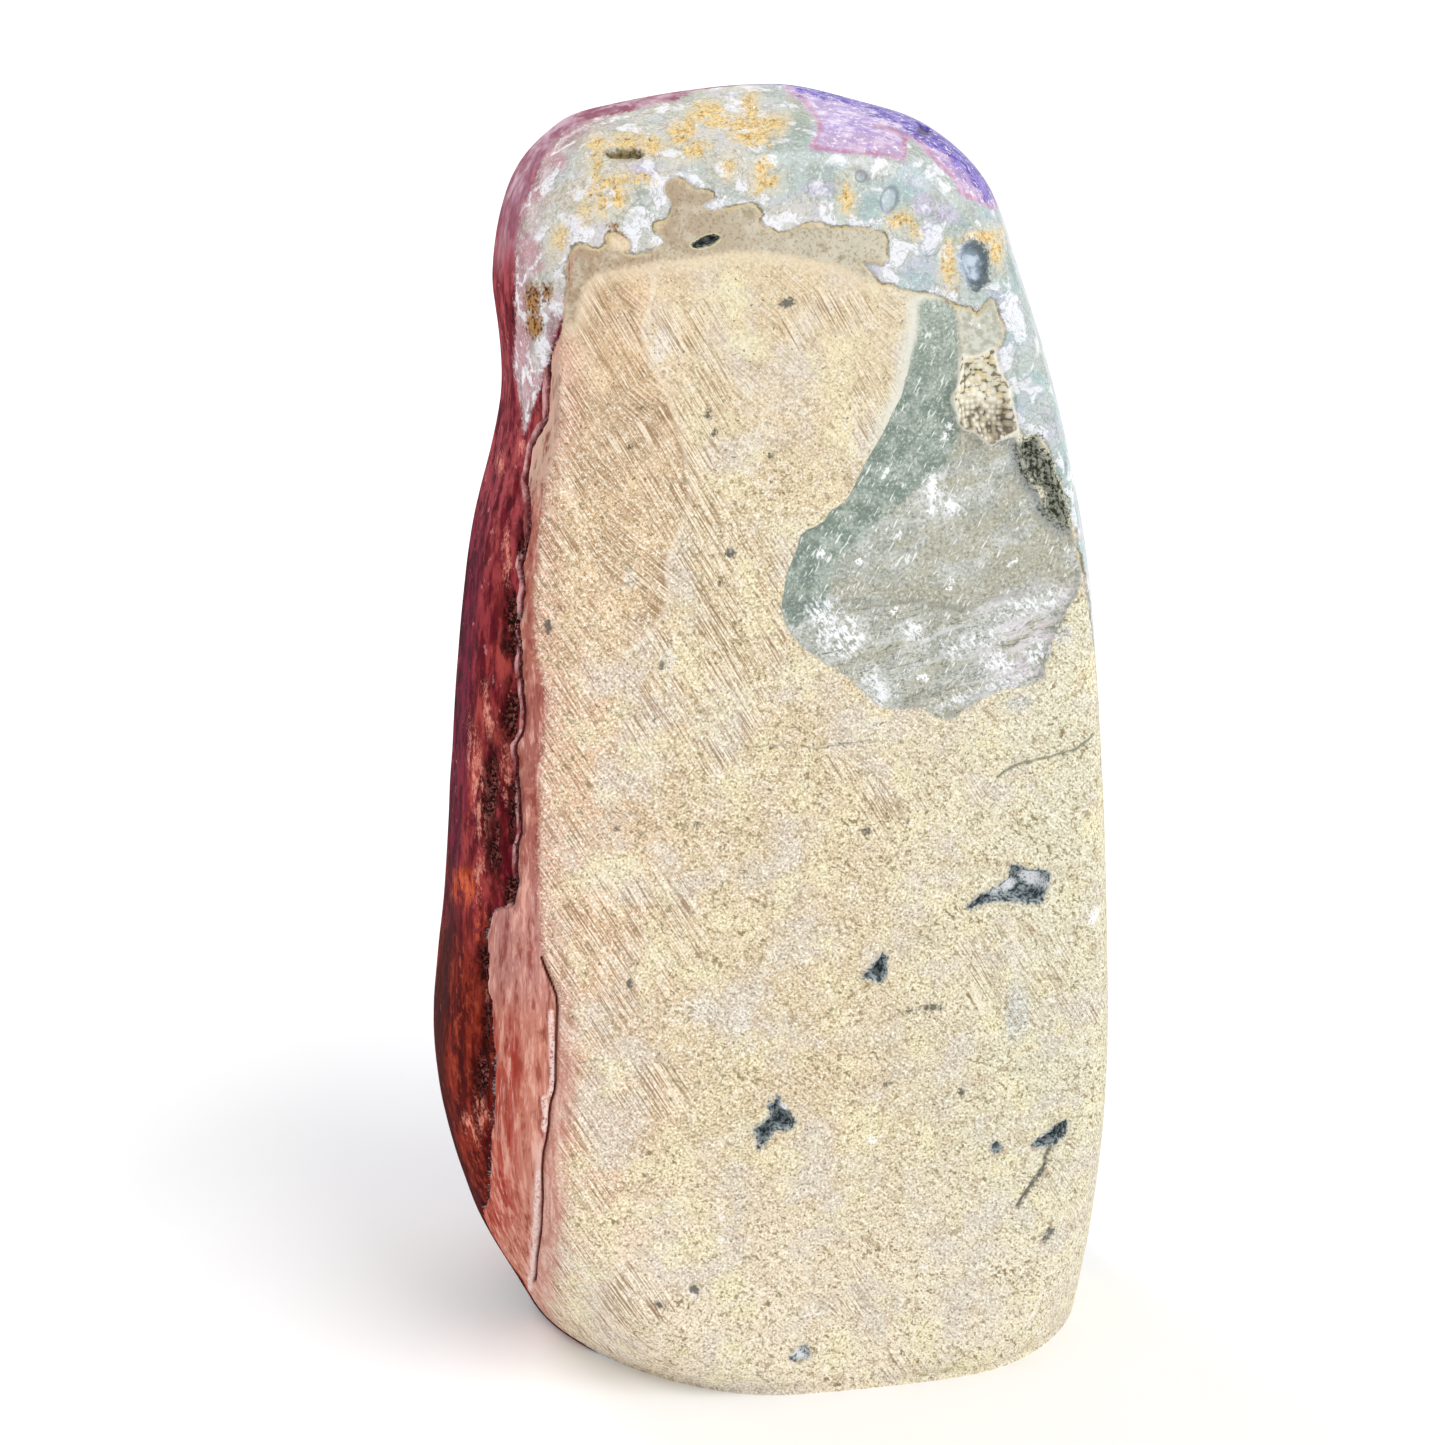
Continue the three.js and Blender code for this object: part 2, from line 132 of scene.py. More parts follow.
OUTLINES = {
    "cap": ((  # the violet top right
        (776, 60), (781, 88), (798, 97), (810, 112), (819, 124), (817, 135), (806, 147), (827, 152),
        (840, 154), (859, 153), (882, 156), (903, 161), (909, 154), (907, 141), (912, 137), (920, 143),
        (928, 154), (943, 170), (956, 183), (960, 194), (979, 202), (996, 210), (1003, 206), (1040, 200),
        (1040, 60),
    ),),
    "violet": ((  # its darker rim
        (776, 60), (790, 88), (830, 98), (860, 108), (880, 116), (905, 126), (925, 138), (948, 158),
        (968, 178), (986, 197), (1003, 206), (1040, 200), (1040, 60),
    ),),
    "taupe": (
        (
            (570, 252), (581, 244), (594, 250), (609, 246), (623, 252), (632, 255), (647, 253), (660, 248),
            (667, 242), (655, 228), (669, 220), (674, 208), (664, 188), (670, 178), (678, 177), (687, 180),
            (693, 189), (707, 189), (714, 195), (713, 213), (728, 209), (745, 204), (754, 204), (762, 213),
            (759, 223), (781, 232), (804, 224), (829, 228), (865, 228), (883, 233), (888, 239), (885, 248),
            (888, 262), (862, 262), (880, 285), (856, 272), (828, 262), (798, 256), (768, 252), (738, 250),
            (700, 256), (670, 258), (645, 264), (620, 268), (597, 272), (584, 280), (580, 300), (572, 326),
            (566, 322), (567, 296), (566, 272),
        ),
        (
            (958, 306), (972, 308), (979, 316), (985, 307), (990, 299), (997, 302), (999, 314), (1006, 332),
            (1002, 343), (985, 353), (972, 358), (962, 354), (959, 330),
        ),
    ),
    "grey": ((
        (917, 299), (943, 298), (957, 303), (960, 330), (963, 356), (960, 378), (954, 396), (955, 405),
        (960, 426), (977, 433), (990, 446), (1005, 440), (1018, 436), (1024, 470), (1036, 489), (1044, 505),
        (1056, 523), (1070, 524), (1078, 548), (1083, 578), (1079, 593), (1068, 609), (1062, 624),
        (1054, 637), (1051, 654), (1044, 668), (1046, 679), (1033, 685), (1005, 690), (984, 698),
        (963, 711), (953, 721), (938, 719), (927, 711), (915, 708), (898, 711), (879, 706), (870, 698),
        (854, 683), (833, 668), (807, 652), (788, 631), (782, 614), (783, 598), (786, 580), (791, 562),
        (798, 546), (802, 532), (823, 524), (828, 513), (836, 508), (846, 503), (853, 489), (861, 473),
        (871, 454), (881, 437), (888, 422), (899, 404), (906, 380), (912, 350), (917, 325),
    ),),
    "green": ((  # along the grey patch
        (917, 302), (942, 301), (956, 306), (961, 355), (955, 405), (962, 436), (953, 464), (920, 488),
        (896, 512), (878, 523), (870, 541), (842, 553), (839, 564), (831, 577), (833, 604), (815, 620),
        (788, 631), (775, 600), (791, 555), (825, 505), (862, 465), (890, 410), (910, 340),
    ),),
    "facet": ((  # the warmer ground facet, upper left
        (600, 262), (655, 262), (652, 300), (641, 333), (650, 358), (664, 385), (678, 420), (688, 470),
        (690, 505), (676, 540), (666, 562), (672, 600), (648, 640), (600, 670), (540, 700), (520, 640),
        (520, 420), (550, 330), (575, 275),
    ),),
    "pocket": ((
        (962, 353), (969, 357), (977, 357), (986, 351), (995, 347), (997, 361), (1002, 371), (1006, 379),
        (1011, 391), (1014, 404), (1017, 417), (1020, 430), (1013, 433), (1002, 440), (995, 448),
        (990, 446), (984, 440), (977, 433), (966, 432), (960, 426), (960, 418), (955, 405), (953, 396),
        (959, 387), (960, 372),
    ),),
    "dark_pocket": ((
        (1023, 438), (1040, 437), (1043, 450), (1051, 455), (1056, 472), (1062, 486), (1066, 497),
        (1071, 510), (1072, 523), (1064, 531), (1056, 523), (1045, 513), (1044, 500), (1046, 491),
        (1036, 489), (1031, 480), (1024, 476), (1022, 464), (1018, 450),
    ),),
    "slit": ((
        (689, 246), (696, 240), (704, 236), (714, 235), (721, 236), (720, 241), (712, 246), (700, 248),
    ),),
    "blue_hollow": ((
        (957, 254), (963, 244), (973, 240), (984, 243), (990, 254), (992, 268), (989, 282), (980, 290),
        (968, 285), (960, 271),
    ),),
    "gold_hollow": ((
        (603, 150), (612, 148), (628, 147), (640, 148), (645, 153), (642, 158), (625, 157), (606, 158),
    ),),
    "vug": (
        (
            (965, 912), (976, 898), (984, 892), (993, 890), (1001, 885), (1008, 877), (1010, 868),
            (1017, 865), (1027, 869), (1038, 870), (1049, 871), (1052, 879), (1048, 890), (1042, 900),
            (1034, 905), (1018, 902), (1000, 901), (984, 904),
        ),
        (
            (859, 980), (872, 967), (880, 955), (885, 951), (888, 972), (882, 983), (872, 978),
        ),
        (
            (777, 1092), (784, 1108), (791, 1115), (796, 1123), (786, 1131), (774, 1131), (768, 1140),
            (757, 1152), (759, 1138), (752, 1128), (766, 1122), (772, 1113), (766, 1102), (774, 1104),
        ),
        (
            (1029, 1146), (1043, 1135), (1055, 1126), (1068, 1118), (1066, 1134), (1056, 1144),
            (1042, 1149),
        ),
        ((788, 1360), (797, 1350), (806, 1343), (812, 1357), (800, 1360)),
        ((990, 1147), (996, 1141), (1004, 1146), (997, 1153)),
    ),
}

CRACK = (
    (541, 955), (545, 968), (552, 984), (558, 1000), (557, 1031), (556, 1062), (556, 1088), (550, 1107),
    (549, 1133), (542, 1162), (541, 1209), (536, 1253), (532, 1292),
)
RIGHT_CRACK = (
    (1094, 735), (1084, 745), (1073, 750), (1050, 757), (1030, 761), (1015, 766), (1006, 771), (997, 778),
)
LEVEL_LINE = ((738, 746), (790, 746), (822, 748), (838, 745), (852, 743), (872, 740))
VUG_VEIN = ((1050, 1148), (1044, 1158), (1045, 1166), (1034, 1181), (1026, 1194), (1018, 1208))
WHITE_LINES = (
    ((1043, 1288), (1034, 1310), (1028, 1322), (1040, 1334)),
    ((1062, 1044), (1076, 1055), (1086, 1047)),
    ((803, 1318), (812, 1312), (818, 1318)),
    ((868, 1132), (873, 1142), (882, 1136)),
)
# Lines, each with half its width in mm. A width below 0 draws the line fainter.
LINES = {
    "step": ((0, ((842, 600), (880, 606), (920, 603), (965, 611), (1001, 601), (1043, 592), (1078, 575))),),
    "lip": (
        (0, ((550, 1012), (552, 1040), (553, 1066), (551, 1093))),
        (0, ((545, 1098), (546, 1114), (544, 1130))),
        (0, ((538, 1174), (536, 1210), (534, 1250), (528, 1290))),
    ),
    "seam": ((0, ((876, 125), (890, 127), (903, 133), (909, 142), (907, 153))),),
    "vein": (
        (0, ((1007, 390), (1019, 381), (1030, 372), (1038, 361), (1041, 349), (1037, 338))),
        (0, ((500, 371), (507, 378), (514, 382), (521, 377), (529, 372), (541, 371))),
    ),
    "agate_line": ((0, POLISHED_RIDGE),),
    "dark_line": ((0, MAROON_EDGE),),
    "hairline": ((0, RIGHT_CRACK), (-0.12, LEVEL_LINE)),
    "dark": ((0.45, VUG_VEIN), (0.15, ((946, 303), (953, 316), (956, 332), (959, 349)))),
    "white": tuple((0.2, line) for line in WHITE_LINES),
}

# Spots: the middle, the two half-sizes and any turn anticlockwise in degrees.
SPOTS = {
    "gold": (
        (597, 143, 8, 6), (629, 141, 13, 6), (652, 144, 8, 7), (596, 168, 3, 12), (600, 186, 9, 3, 25),
        (620, 180, 12, 3, 10), (640, 177, 8, 3), (619, 198, 4, 6), (602, 204, 3, 5), (584, 212, 3, 7),
        (679, 131, 9, 9), (690, 124, 4, 8), (709, 110, 13, 8), (718, 118, 8, 5), (696, 148, 10, 5, 20),
        (745, 122, 14, 6), (754, 134, 17, 9), (750, 104, 5, 10), (772, 124, 13, 6, 15), (764, 167, 5, 6),
        (760, 176, 3, 6), (766, 184, 8, 5, 20), (729, 168, 3, 4), (848, 198, 4, 9), (901, 219, 9, 5, 20),
        (915, 228, 3, 5), (950, 264, 5, 13), (985, 237, 11, 4, 10), (997, 250, 5, 9), (558, 238, 5, 9),
    ),
    "brown": (
        (614, 228, 5, 4), (622, 236, 4, 4), (531, 300, 8, 18), (532, 326, 9, 13), (545, 292, 5, 10),
        (958, 324, 1.5, 14),
    ),
    "lilac": (
        (645, 170, 15, 9), (538, 318, 6, 6), (820, 188, 16, 7), (925, 205, 12, 12), (945, 215, 14, 9),
        (930, 235, 8, 14),
    ),
    "pink": (
        (541, 150, 10, 12, 20), (524, 168, 9, 10), (555, 158, 9, 9), (529, 192, 10, 9, 30),
        (517, 208, 8, 12), (527, 250, 13, 12), (533, 264, 9, 8), (516, 300, 7, 24), (519, 345, 9, 22),
        (530, 385, 9, 20, 10),
    ),
    "green_spot": (
        (800, 126, 12, 17), (770, 143, 14, 5), (640, 210, 5, 6), (598, 170, 4, 10), (742, 128, 5, 2, 10),
    ),
    "ring": ((890, 199, 8, 13, -15), (862, 176, 6, 6)),  # ringed cavities in the quartz
    "dark": (
        (787, 303, 9, 5, 10), (707, 415, 3, 5), (714, 433, 3, 4), (631, 446, 3, 3), (771, 457, 3, 3),
        (730, 553, 5, 5), (721, 583, 3, 3), (548, 627, 4, 7, 10), (867, 832, 5, 4), (630, 984, 3, 5),
        (616, 828, 3, 3), (572, 1017, 2, 2), (1051, 1231, 5, 4), (930, 1008, 12, 3), (908, 1012, 5, 2),
        (660, 1306, 7, 3, -30), (695, 1290, 5, 7), (962, 1092, 3, 4), (887, 1087, 4, 2), (934, 1107, 2, 2),
        (1021, 1070, 2, 2), (893, 842, 2, 2), (1018, 1096, 2, 2), (1047, 1238, 6, 3, 40), (608, 405, 2, 2),
        (643, 407, 2, 2), (925, 128, 8, 4, -30), (946, 304, 4, 3), (951, 309, 4, 4, 30), (662, 665, 4, 4),
        (655, 720, 2, 2), (888, 1085, 4, 2), (697, 826, 3, 3),
    ),
    "pale": (
        (669, 657, 8, 11), (631, 577, 10, 12), (1018, 1013, 12, 30), (700, 1010, 18, 12),
        (740, 1020, 12, 14), (662, 345, 10, 22, -30), (875, 725, 9, 7), (655, 850, 9, 5), (1062, 634, 8, 9),
        (1020, 705, 14, 8),
    ),
    "white": (
        (1094, 917, 5, 12, -20), (872, 1141, 5, 5), (721, 1217, 5, 4), (924, 1267, 5, 3), (720, 1240, 3, 3),
        (1057, 953, 4, 3), (930, 827, 3, 2), (972, 322, 3, 3), (979, 325, 3, 3), (1036, 881, 11, 6, -15),
        (1012, 889, 7, 4, 25), (998, 893, 5, 3, 20), (800, 1353, 6, 4), (693, 1296, 4, 3),
        (748, 1240, 3, 2), (784, 1106, 4, 4), (731, 551, 2, 2), (934, 488, 4, 12), (933, 512, 4, 4),
        (952, 506, 4, 4), (951, 427, 3, 4), (947, 439, 3, 3), (888, 474, 2, 5, -20), (901, 536, 3, 3),
        (822, 554, 4, 5), (860, 563, 3, 3), (952, 585, 2, 5, -20), (896, 612, 4, 3, -45),
        (1016, 563, 5, 2, 30), (919, 631, 5, 4, -30), (925, 680, 5, 3),
    ),
    "frost": (  # white, rough places on the grey patch
        (842, 636, 27, 22, -35), (822, 612, 12, 14, -35), (874, 684, 15, 9, -40), (882, 698, 8, 7, -50),
        (936, 494, 10, 16), (955, 508, 10, 8), (1025, 608, 26, 8, 15), (1050, 600, 20, 9, 25),
        (1000, 663, 16, 10, -30), (1040, 655, 16, 12, 20), (955, 650, 10, 7), (915, 632, 12, 8, -20),
        (985, 640, 22, 7, 15), (1010, 685, 26, 6, 15), (960, 700, 20, 6, 25),
    ),
    "pit": (  # rows of small dark holes left of the agate ridge
        (508, 616, 6, 20), (509, 645, 7, 9), (508, 716, 7, 24), (487, 790, 6, 38, -3),
        (491, 846, 6, 22, -3), (511, 812, 4, 26), (509, 893, 8, 14), (519, 545, 4, 12), (480, 960, 4, 16),
        (483, 1030, 3, 22), (478, 1075, 6, 22),
    ),
    "painted_highlight": (  # painted highlights: paler places on the polished left side
        (477, 800, 5, 34, 3), (485, 712, 3, 16, 5), (470, 760, 3, 20, 5), (504, 556, 3, 14),
        (497, 463, 3, 7), (516, 445, 3, 5), (504, 778, 3, 16), (468, 1130, 5, 12, 20), (481, 1122, 4, 8),
        (486, 994, 3, 5), (477, 1103, 3, 6), (478, 880, 4, 16),
    ),
    "rust": ((462, 886, 15, 19), (478, 925, 4, 14)),
}
FAR_MM = 12  # no marking is measured further than this


# ---- numbers ----

def smooth_step(t):
    t = np.clip(t, 0, 1)
    return t * t * (3 - 2 * t)


def smooth_max(a, b, radius):
    h = np.clip(0.5 + 0.5 * (a - b) / radius, 0, 1)
    return b * (1 - h) + a * h + radius * h * (1 - h)


def scatter(number, draw):
    """A repeatable number from 0 to 1."""
    wave = math.sin(number * 12.9898 + draw * 78.233) * 43758.5453
    return wave - math.floor(wave)


def cell_random(cell, seed):
    """A repeatable number from 0 to 1 for each whole-number cell."""
    c = cell.astype(np.int64).astype(np.uint64)
    h = c[..., 0] * np.uint64(73856093) ^ c[..., 1] * np.uint64(19349663) ^ c[..., 2] * np.uint64(83492791)
    h = (h ^ np.uint64(seed * 7919 + 17)) * np.uint64(0x9E3779B97F4A7C15)
    h = (h ^ (h >> np.uint64(29))) * np.uint64(0xBF58476D1CE4E5B9)
    return ((h ^ (h >> np.uint64(32))) & np.uint64(0xFFFFFF)).astype(float) / 0xFFFFFF


def noise(points, size, seed=0):
    """Smooth noise from -1 to 1 whose lumps are this many millimetres across. size may be three sizes."""
    p = points / np.asarray(size, float) + 100 + seed * 0.37
    cell = np.floor(p)
    t = smooth_step(p - cell)
    total = np.zeros(len(points))
    for corner in np.ndindex(2, 2, 2):
        weight = np.prod(np.where(np.array(corner) == 1, t, 1 - t), axis=1)
        total += weight * cell_random(cell + corner, seed)
    return 2 * total - 1


def rough_noise(points, size, octaves, seed=0):
    """Noise with finer noise laid over it, each octave half as coarse and half as strong as the last."""
    sizes = np.asarray(size, float)
    return sum(noise(points, sizes / 2 ** k, seed + 31 * k) / 2 ** k for k in range(octaves))


def unit(vectors):
    return vectors / np.maximum(np.linalg.norm(vectors, axis=1), 1e-9)[:, None]


# ---- the stone's shape ----

def through(rows, place):
    """The rows' curve (Catmull-Rom) at places from 0 to the last row. The height turns back at the top."""
    last = len(rows) - 1
    i = np.clip(np.floor(place).astype(int), 0, last - 1)
    t = (place - i)[:, None]
    b, c = rows[i], rows[i + 1]
    a = np.where((i > 0)[:, None], rows[np.maximum(i - 1, 0)], 2 * b - c)
    beyond = 2 * c - b
    beyond[:, 0] = b[:, 0]
    d = np.where((i < last - 1)[:, None], rows[np.minimum(i + 2, last)], beyond)
    return 0.5 * (2 * b + (c - a) * t + (2 * a - 5 * b + 4 * c - d) * t ** 2
                  + (3 * b - a - 3 * c + d) * t ** 3)


def ground_y(z):
    return GROUND_Y + math.tan(math.radians(GROUND_LEAN)) * z


def hollow_share(x, z):
    """0 in the middle of the hollow and 1 at its rim."""
    across = (x - HOLLOW_X) / (HOLLOW_HALF_WIDTH - HOLLOW_TAPER * (z - HOLLOW_Z))
    up = (z - HOLLOW_Z) / HOLLOW_HALF_HEIGHT
    angle = np.arctan2(up, across)
    wave = 1 + sum(size * np.sin(count * angle + turn) for count, size, turn in HOLLOW_WAVES)
    return (np.abs(across) ** HOLLOW_CORNER + np.abs(up) ** HOLLOW_CORNER) ** (1 / HOLLOW_CORNER) / wave


def floor_y(share):
    """How far forward the hollow's floor lies."""
    return HOLLOW_MIDDLE + (HOLLOW_RIM - HOLLOW_MIDDLE) * share ** HOLLOW_STEEPNESS


def lump_points(place, angle):
    """Points of the lump's sides, before the hollow is taken out."""
    row = through(np.array(PROFILE, float), place)
    z, left, right, back, front, left_corner, right_corner = row.T
    c, s = np.cos(angle), np.sin(angle)
    high = smooth_step((z - AXIS_FROM) / AXIS_OVER)
    axis_y = AXIS_Y_LOW + (AXIS_Y_HIGH - AXIS_Y_LOW) * high
    half_width = np.maximum((right - left) / 2, 1e-6)
    half_depth = np.maximum(np.where(s < 0, axis_y - back, front - axis_y), 1e-6)
    corner = np.where(s < 0, np.where(c < 0, left_corner, right_corner), FRONT_CORNER)
    reach = (np.abs(c / half_width) ** corner + np.abs(s / half_depth) ** corner) ** (-1 / corner)
    y = smooth_max(axis_y + reach * s, ground_y(z), GROUND_EDGE)
    return np.stack([(left + right) / 2 + reach * c, y, z], axis=1)


# ---- a mesh that is fine only where the markings need it ----

GRID_MM = 2.7  # the coarsest edge; it is halved up to three times
NEAR_MM, MARKED_MM, FINE_MM = 1.35, 0.7, 0.35
BASE_RINGS = 18
RING_PLACE, ROW_ANGLE = 4.6, -0.3 * math.pi  # the ring and the side on which the grid is spaced
CURVE_STEPS = 4001


def measured(curve):
    """The length up to each point of a curve, and how many edges of GRID_MM fit on the whole of it."""
    lengths = np.concatenate([[0], np.cumsum(np.linalg.norm(np.diff(curve, axis=0), axis=1))])
    return lengths, int(lengths[-1] / GRID_MM)


def first_grid():
    """The lump's outside as rings of (place, angle), and its triangles.

    Place runs from -1 in the base's middle to 0 at its edge, and on up the rows of the profile.
    """
    turns = np.linspace(0, 2 * math.pi, CURVE_STEPS)
    lengths, count = measured(lump_points(np.full(len(turns), RING_PLACE), turns))
    angles = np.interp(np.arange(count) * lengths[-1] / count, lengths, turns)
    last = len(PROFILE) - 1
    places = np.linspace(0, last, CURVE_STEPS)
    lengths, height = measured(lump_points(places, np.full(len(places), ROW_ANGLE)))
    rows = np.interp(np.linspace(0, lengths[-1], height), lengths, places)[:-1]
    rings = np.concatenate([np.linspace(-1, 0, BASE_RINGS)[1:-1], rows])
    grid = np.stack(np.meshgrid(rings, angles, indexing="ij"), axis=-1).reshape(-1, 2)
    here = np.arange(count)
    beside = (here + 1) % count
    bottom, top = np.full(count, len(grid)), np.full(count, len(grid) + 1)
    sides = [(bottom, beside, here)]
    for low in range(0, len(grid) - count, count):
        high = low + count
        sides += [(low + here, low + beside, high + beside), (low + here, high + beside, high + here)]
    high = len(grid) - count
    sides.append((high + here, high + beside, top))
    poles = np.array([[-1, np.nan], [last, np.nan]])
    return np.concatenate([grid, poles]), np.concatenate([np.stack(side, axis=1) for side in sides])


def shell(grid):
    """Points of the lump for rows of (place, angle), with its base, before the hollow is taken out."""
    place, angle = grid[:, 0], np.nan_to_num(grid[:, 1])
    points = lump_points(np.maximum(place, 0), angle)
    inward = np.clip(1 + place, 0, 1)
    middle = np.array([(PROFILE[0][1] + PROFILE[0][2]) / 2, AXIS_Y_LOW])
    points[:, :2] = middle + (points[:, :2] - middle) * inward[:, None]
    return points


def surface(grid):
    """The lump's points with those on the front pushed in to the hollow's floor."""
    points = shell(grid)
    x, y, z = points.T
    pushed = -smooth_max(-y, -floor_y(hollow_share(x, z)), HOLLOW_LIP)
    points[:, 1] = np.where(y > HOLLOW_MIDDLE, pushed, y)
    return points


def normals_of(points, triangles):
    a, b, c = (points[triangles[:, k]] for k in range(3))
    across = np.cross(b - a, c - a)
    total = np.zeros_like(points)
    for k in range(3):
        for axis in range(3):
            total[:, axis] += np.bincount(triangles[:, k], across[:, axis], len(points))
    return unit(total)


def halved(grid, triangles, edge_limit):
    """Halves each edge that is longer than edge_limit(points, normals) allows, and the triangles with it."""
    corners = triangles[:, [0, 1, 1, 2, 2, 0]].reshape(-1, 2)
    low, high = corners.min(axis=1), corners.max(axis=1)
    keys, index = np.unique(low.astype(np.int64) * len(grid) + high, return_inverse=True)
    a, b = keys // len(grid), keys % len(grid)
    points = surface(grid)
    normals = normals_of(points, triangles)
    limit = edge_limit((points[a] + points[b]) / 2, normals[a] + normals[b])
    marked = np.linalg.norm(points[a] - points[b], axis=1) > limit * 1.5
    turn_a, turn_b = grid[a, 1], grid[b, 1]
    gap = (turn_b - turn_a + math.pi) % (2 * math.pi) - math.pi
    turn = np.where(np.isnan(turn_a), turn_b, np.where(np.isnan(turn_b), turn_a, turn_a + gap / 2))
    middles = np.stack([(grid[a, 0] + grid[b, 0]) / 2, turn], axis=1)[marked]
    new = np.where(marked, len(grid) + np.cumsum(marked) - 1, -1)
    mid = new[index.reshape(-1)].reshape(-1, 3)
    split = (mid >= 0).sum(axis=1)
    parts = [triangles[split == 0]]
    for count in (1, 2, 3):
        # Turn each triangle until its split edges come first.
        chosen = np.flatnonzero(split == count)
        t, m = triangles[chosen], mid[chosen]
        for _ in range(2):
            wrong = (m[:, :count] < 0).any(axis=1)
            t[wrong], m[wrong] = np.roll(t[wrong], -1, axis=1), np.roll(m[wrong], -1, axis=1)
        u, v, w = t.T
        p, q, r = m.T
        pieces = {1: ((u, p, w), (p, v, w)), 2: ((p, v, q), (u, p, q), (u, q, w)),
                  3: ((u, p, r), (p, v, q), (q, w, r), (p, q, r))}[count]
        parts += [np.stack(piece, axis=1) for piece in pieces]
    return np.concatenate([grid, middles]), np.concatenate(parts)


# ---- markings laid on through the photograph's camera ----

def camera_axes():
    """The camera's place, and its right, up and back directions."""
    azimuth, elevation = math.radians(CAMERA_AZIMUTH), math.radians(CAMERA_ELEVATION)
    level = math.cos(elevation)
    back = np.array([math.sin(azimuth) * level, -math.cos(azimuth) * level, math.sin(elevation)])
    right = np.cross((0, 0, 1), back)
    right /= np.linalg.norm(right)
    return np.array(CAMERA_TARGET) + CAMERA_DISTANCE * back, right, np.cross(back, right), back


def to_photo(points):
    """Where points lie on the photograph, in pixels."""
    place, right, up, back = camera_axes()
    away = points - place
    half = PHOTO_SIZE / 2
    scale = half / math.tan(math.radians(CAMERA_VIEW_ANGLE) / 2) / -(away @ back)
    return np.stack([half + scale * (away @ right), half - scale * (away @ up)], axis=1)


def seen_in_photo(points, normals):
    """1 where the photograph sees the surface, down to 0 at its outline and on hidden sides."""
    toward = unit(camera_axes()[0] - points)
    return smooth_step(np.sum(unit(normals) * toward, axis=1) / 0.1)


def rounded(outline, closed=True):
    """The outline with each corner cut once."""
    corners = np.array(outline, float)
    beyond = np.roll(corners, -1, axis=0) if closed else corners[1:]
    here = corners if closed else corners[:-1]
    return np.stack([0.75 * here + 0.25 * beyond, 0.25 * here + 0.75 * beyond], axis=1).reshape(-1, 2)


def line_distance(pixels, line):
    """Distance in mm to a line through pixels of the photograph."""
    corners = np.array(line, float)
    far = FAR_MM / PHOTO_MM
    distance = np.full(len(pixels), far)
    near = (pixels > corners.min(axis=0) - far) & (pixels < corners.max(axis=0) + far)
    near = np.flatnonzero(near.all(axis=1))
    p, d = pixels[near], distance[near]
    for a, b in zip(corners[:-1], corners[1:]):
        along = b - a
        t = np.clip((p - a) @ along / max(along @ along, 1e-9), 0, 1)
        d = np.minimum(d, np.hypot(*(p - a - t[:, None] * along).T))
    distance[near] = d
    return distance * PHOTO_MM


def outline_distance(pixels, outline):
    """Distance in mm to an outline, negative inside it."""
    corners = rounded(outline)
    distance = line_distance(pixels, np.concatenate([corners, corners[:1]]))
    x, y = pixels.T
    inside = np.zeros(len(pixels), bool)
    for (ax, ay), (bx, by) in zip(corners, np.roll(corners, -1, axis=0)):
        if ay != by:
            inside ^= ((ay > y) != (by > y)) & (x < ax + (bx - ax) * (y - ay) / (by - ay))
    return np.where(inside, -distance, distance)


def spot_distance(pixels, spots):
    """Distance in mm to the nearest spot's edge, negative inside it."""
    far = FAR_MM / PHOTO_MM
    distance = np.full(len(pixels), far)
    for x, y, half_width, half_height, *turn in spots:
        away = pixels - (x, y)
        near = np.flatnonzero(np.abs(away).max(axis=1) < max(half_width, half_height) + far)
        across, down = away[near].T
        angle = math.radians(sum(turn))
        c, s = math.cos(angle), math.sin(angle)
        reach = np.hypot((across * c - down * s) / half_width, (across * s + down * c) / half_height)
        distance[near] = np.minimum(distance[near], (reach - 1) * min(half_width, half_height))
    return distance * PHOTO_MM


def nearest(distance, pixels, shapes):
    """The least of distance(pixels, shape) for these shapes."""
    return np.minimum.reduce([distance(pixels, shape) for shape in shapes])


def drawn(pixels, name):
    """Distance in mm to the marking of this name: to its outlines, lines and spots, whichever it has."""
    found = [outline_distance(pixels, outline) for outline in OUTLINES.get(name, ())]
    found += [line_distance(pixels, line) - half_width for half_width, line in LINES.get(name, ())]
    if name in SPOTS:
        found.append(spot_distance(pixels, SPOTS[name]))
    return np.minimum.reduce(found)


# Where the matrix ends on the hidden right side, top and base: how far back, in mm.
MATRIX_END_RIGHT = ((60, -8), (110, -14), (130, -21), (143, -28), (155, -37), (175, -50))  # height, y
MATRIX_END_ACROSS = ((-60, -36), (-20, -24), (10, -15), (60, -8))  # x, y at the base
MATRIX_END_TOP = -28
# How thick the agate and quartz are there, before the amethyst: x, thickness.
QUARTZ_ACROSS = ((-62, 2), (-40, 8), (0, 14), (60, 18))
HIDDEN_LEFT = -48  # x of the left side's edge where the photograph doesn't show it
WOBBLE_PIXELS, GREY_WOBBLE_PIXELS = 1.5, 0.8  # how ragged the outlines are


def layer_depth(points):
    """How far a point lies in front of the matrix, in mm, where the photograph doesn't show its edge."""
    x, y, z = points.T
    rightness = smooth_step((x - 30) / 25)
    high = smooth_step((z - 215) / 30)
    across, right = np.interp(x, *zip(*MATRIX_END_ACROSS)), np.interp(z, *zip(*MATRIX_END_RIGHT))
    end = across * (1 - rightness) + right * rightness
    end = end * (1 - high) + MATRIX_END_TOP * high
    return y - end - 2.2 * noise(points, 24, 3) - 1.1 * noise(points, 8, 4)


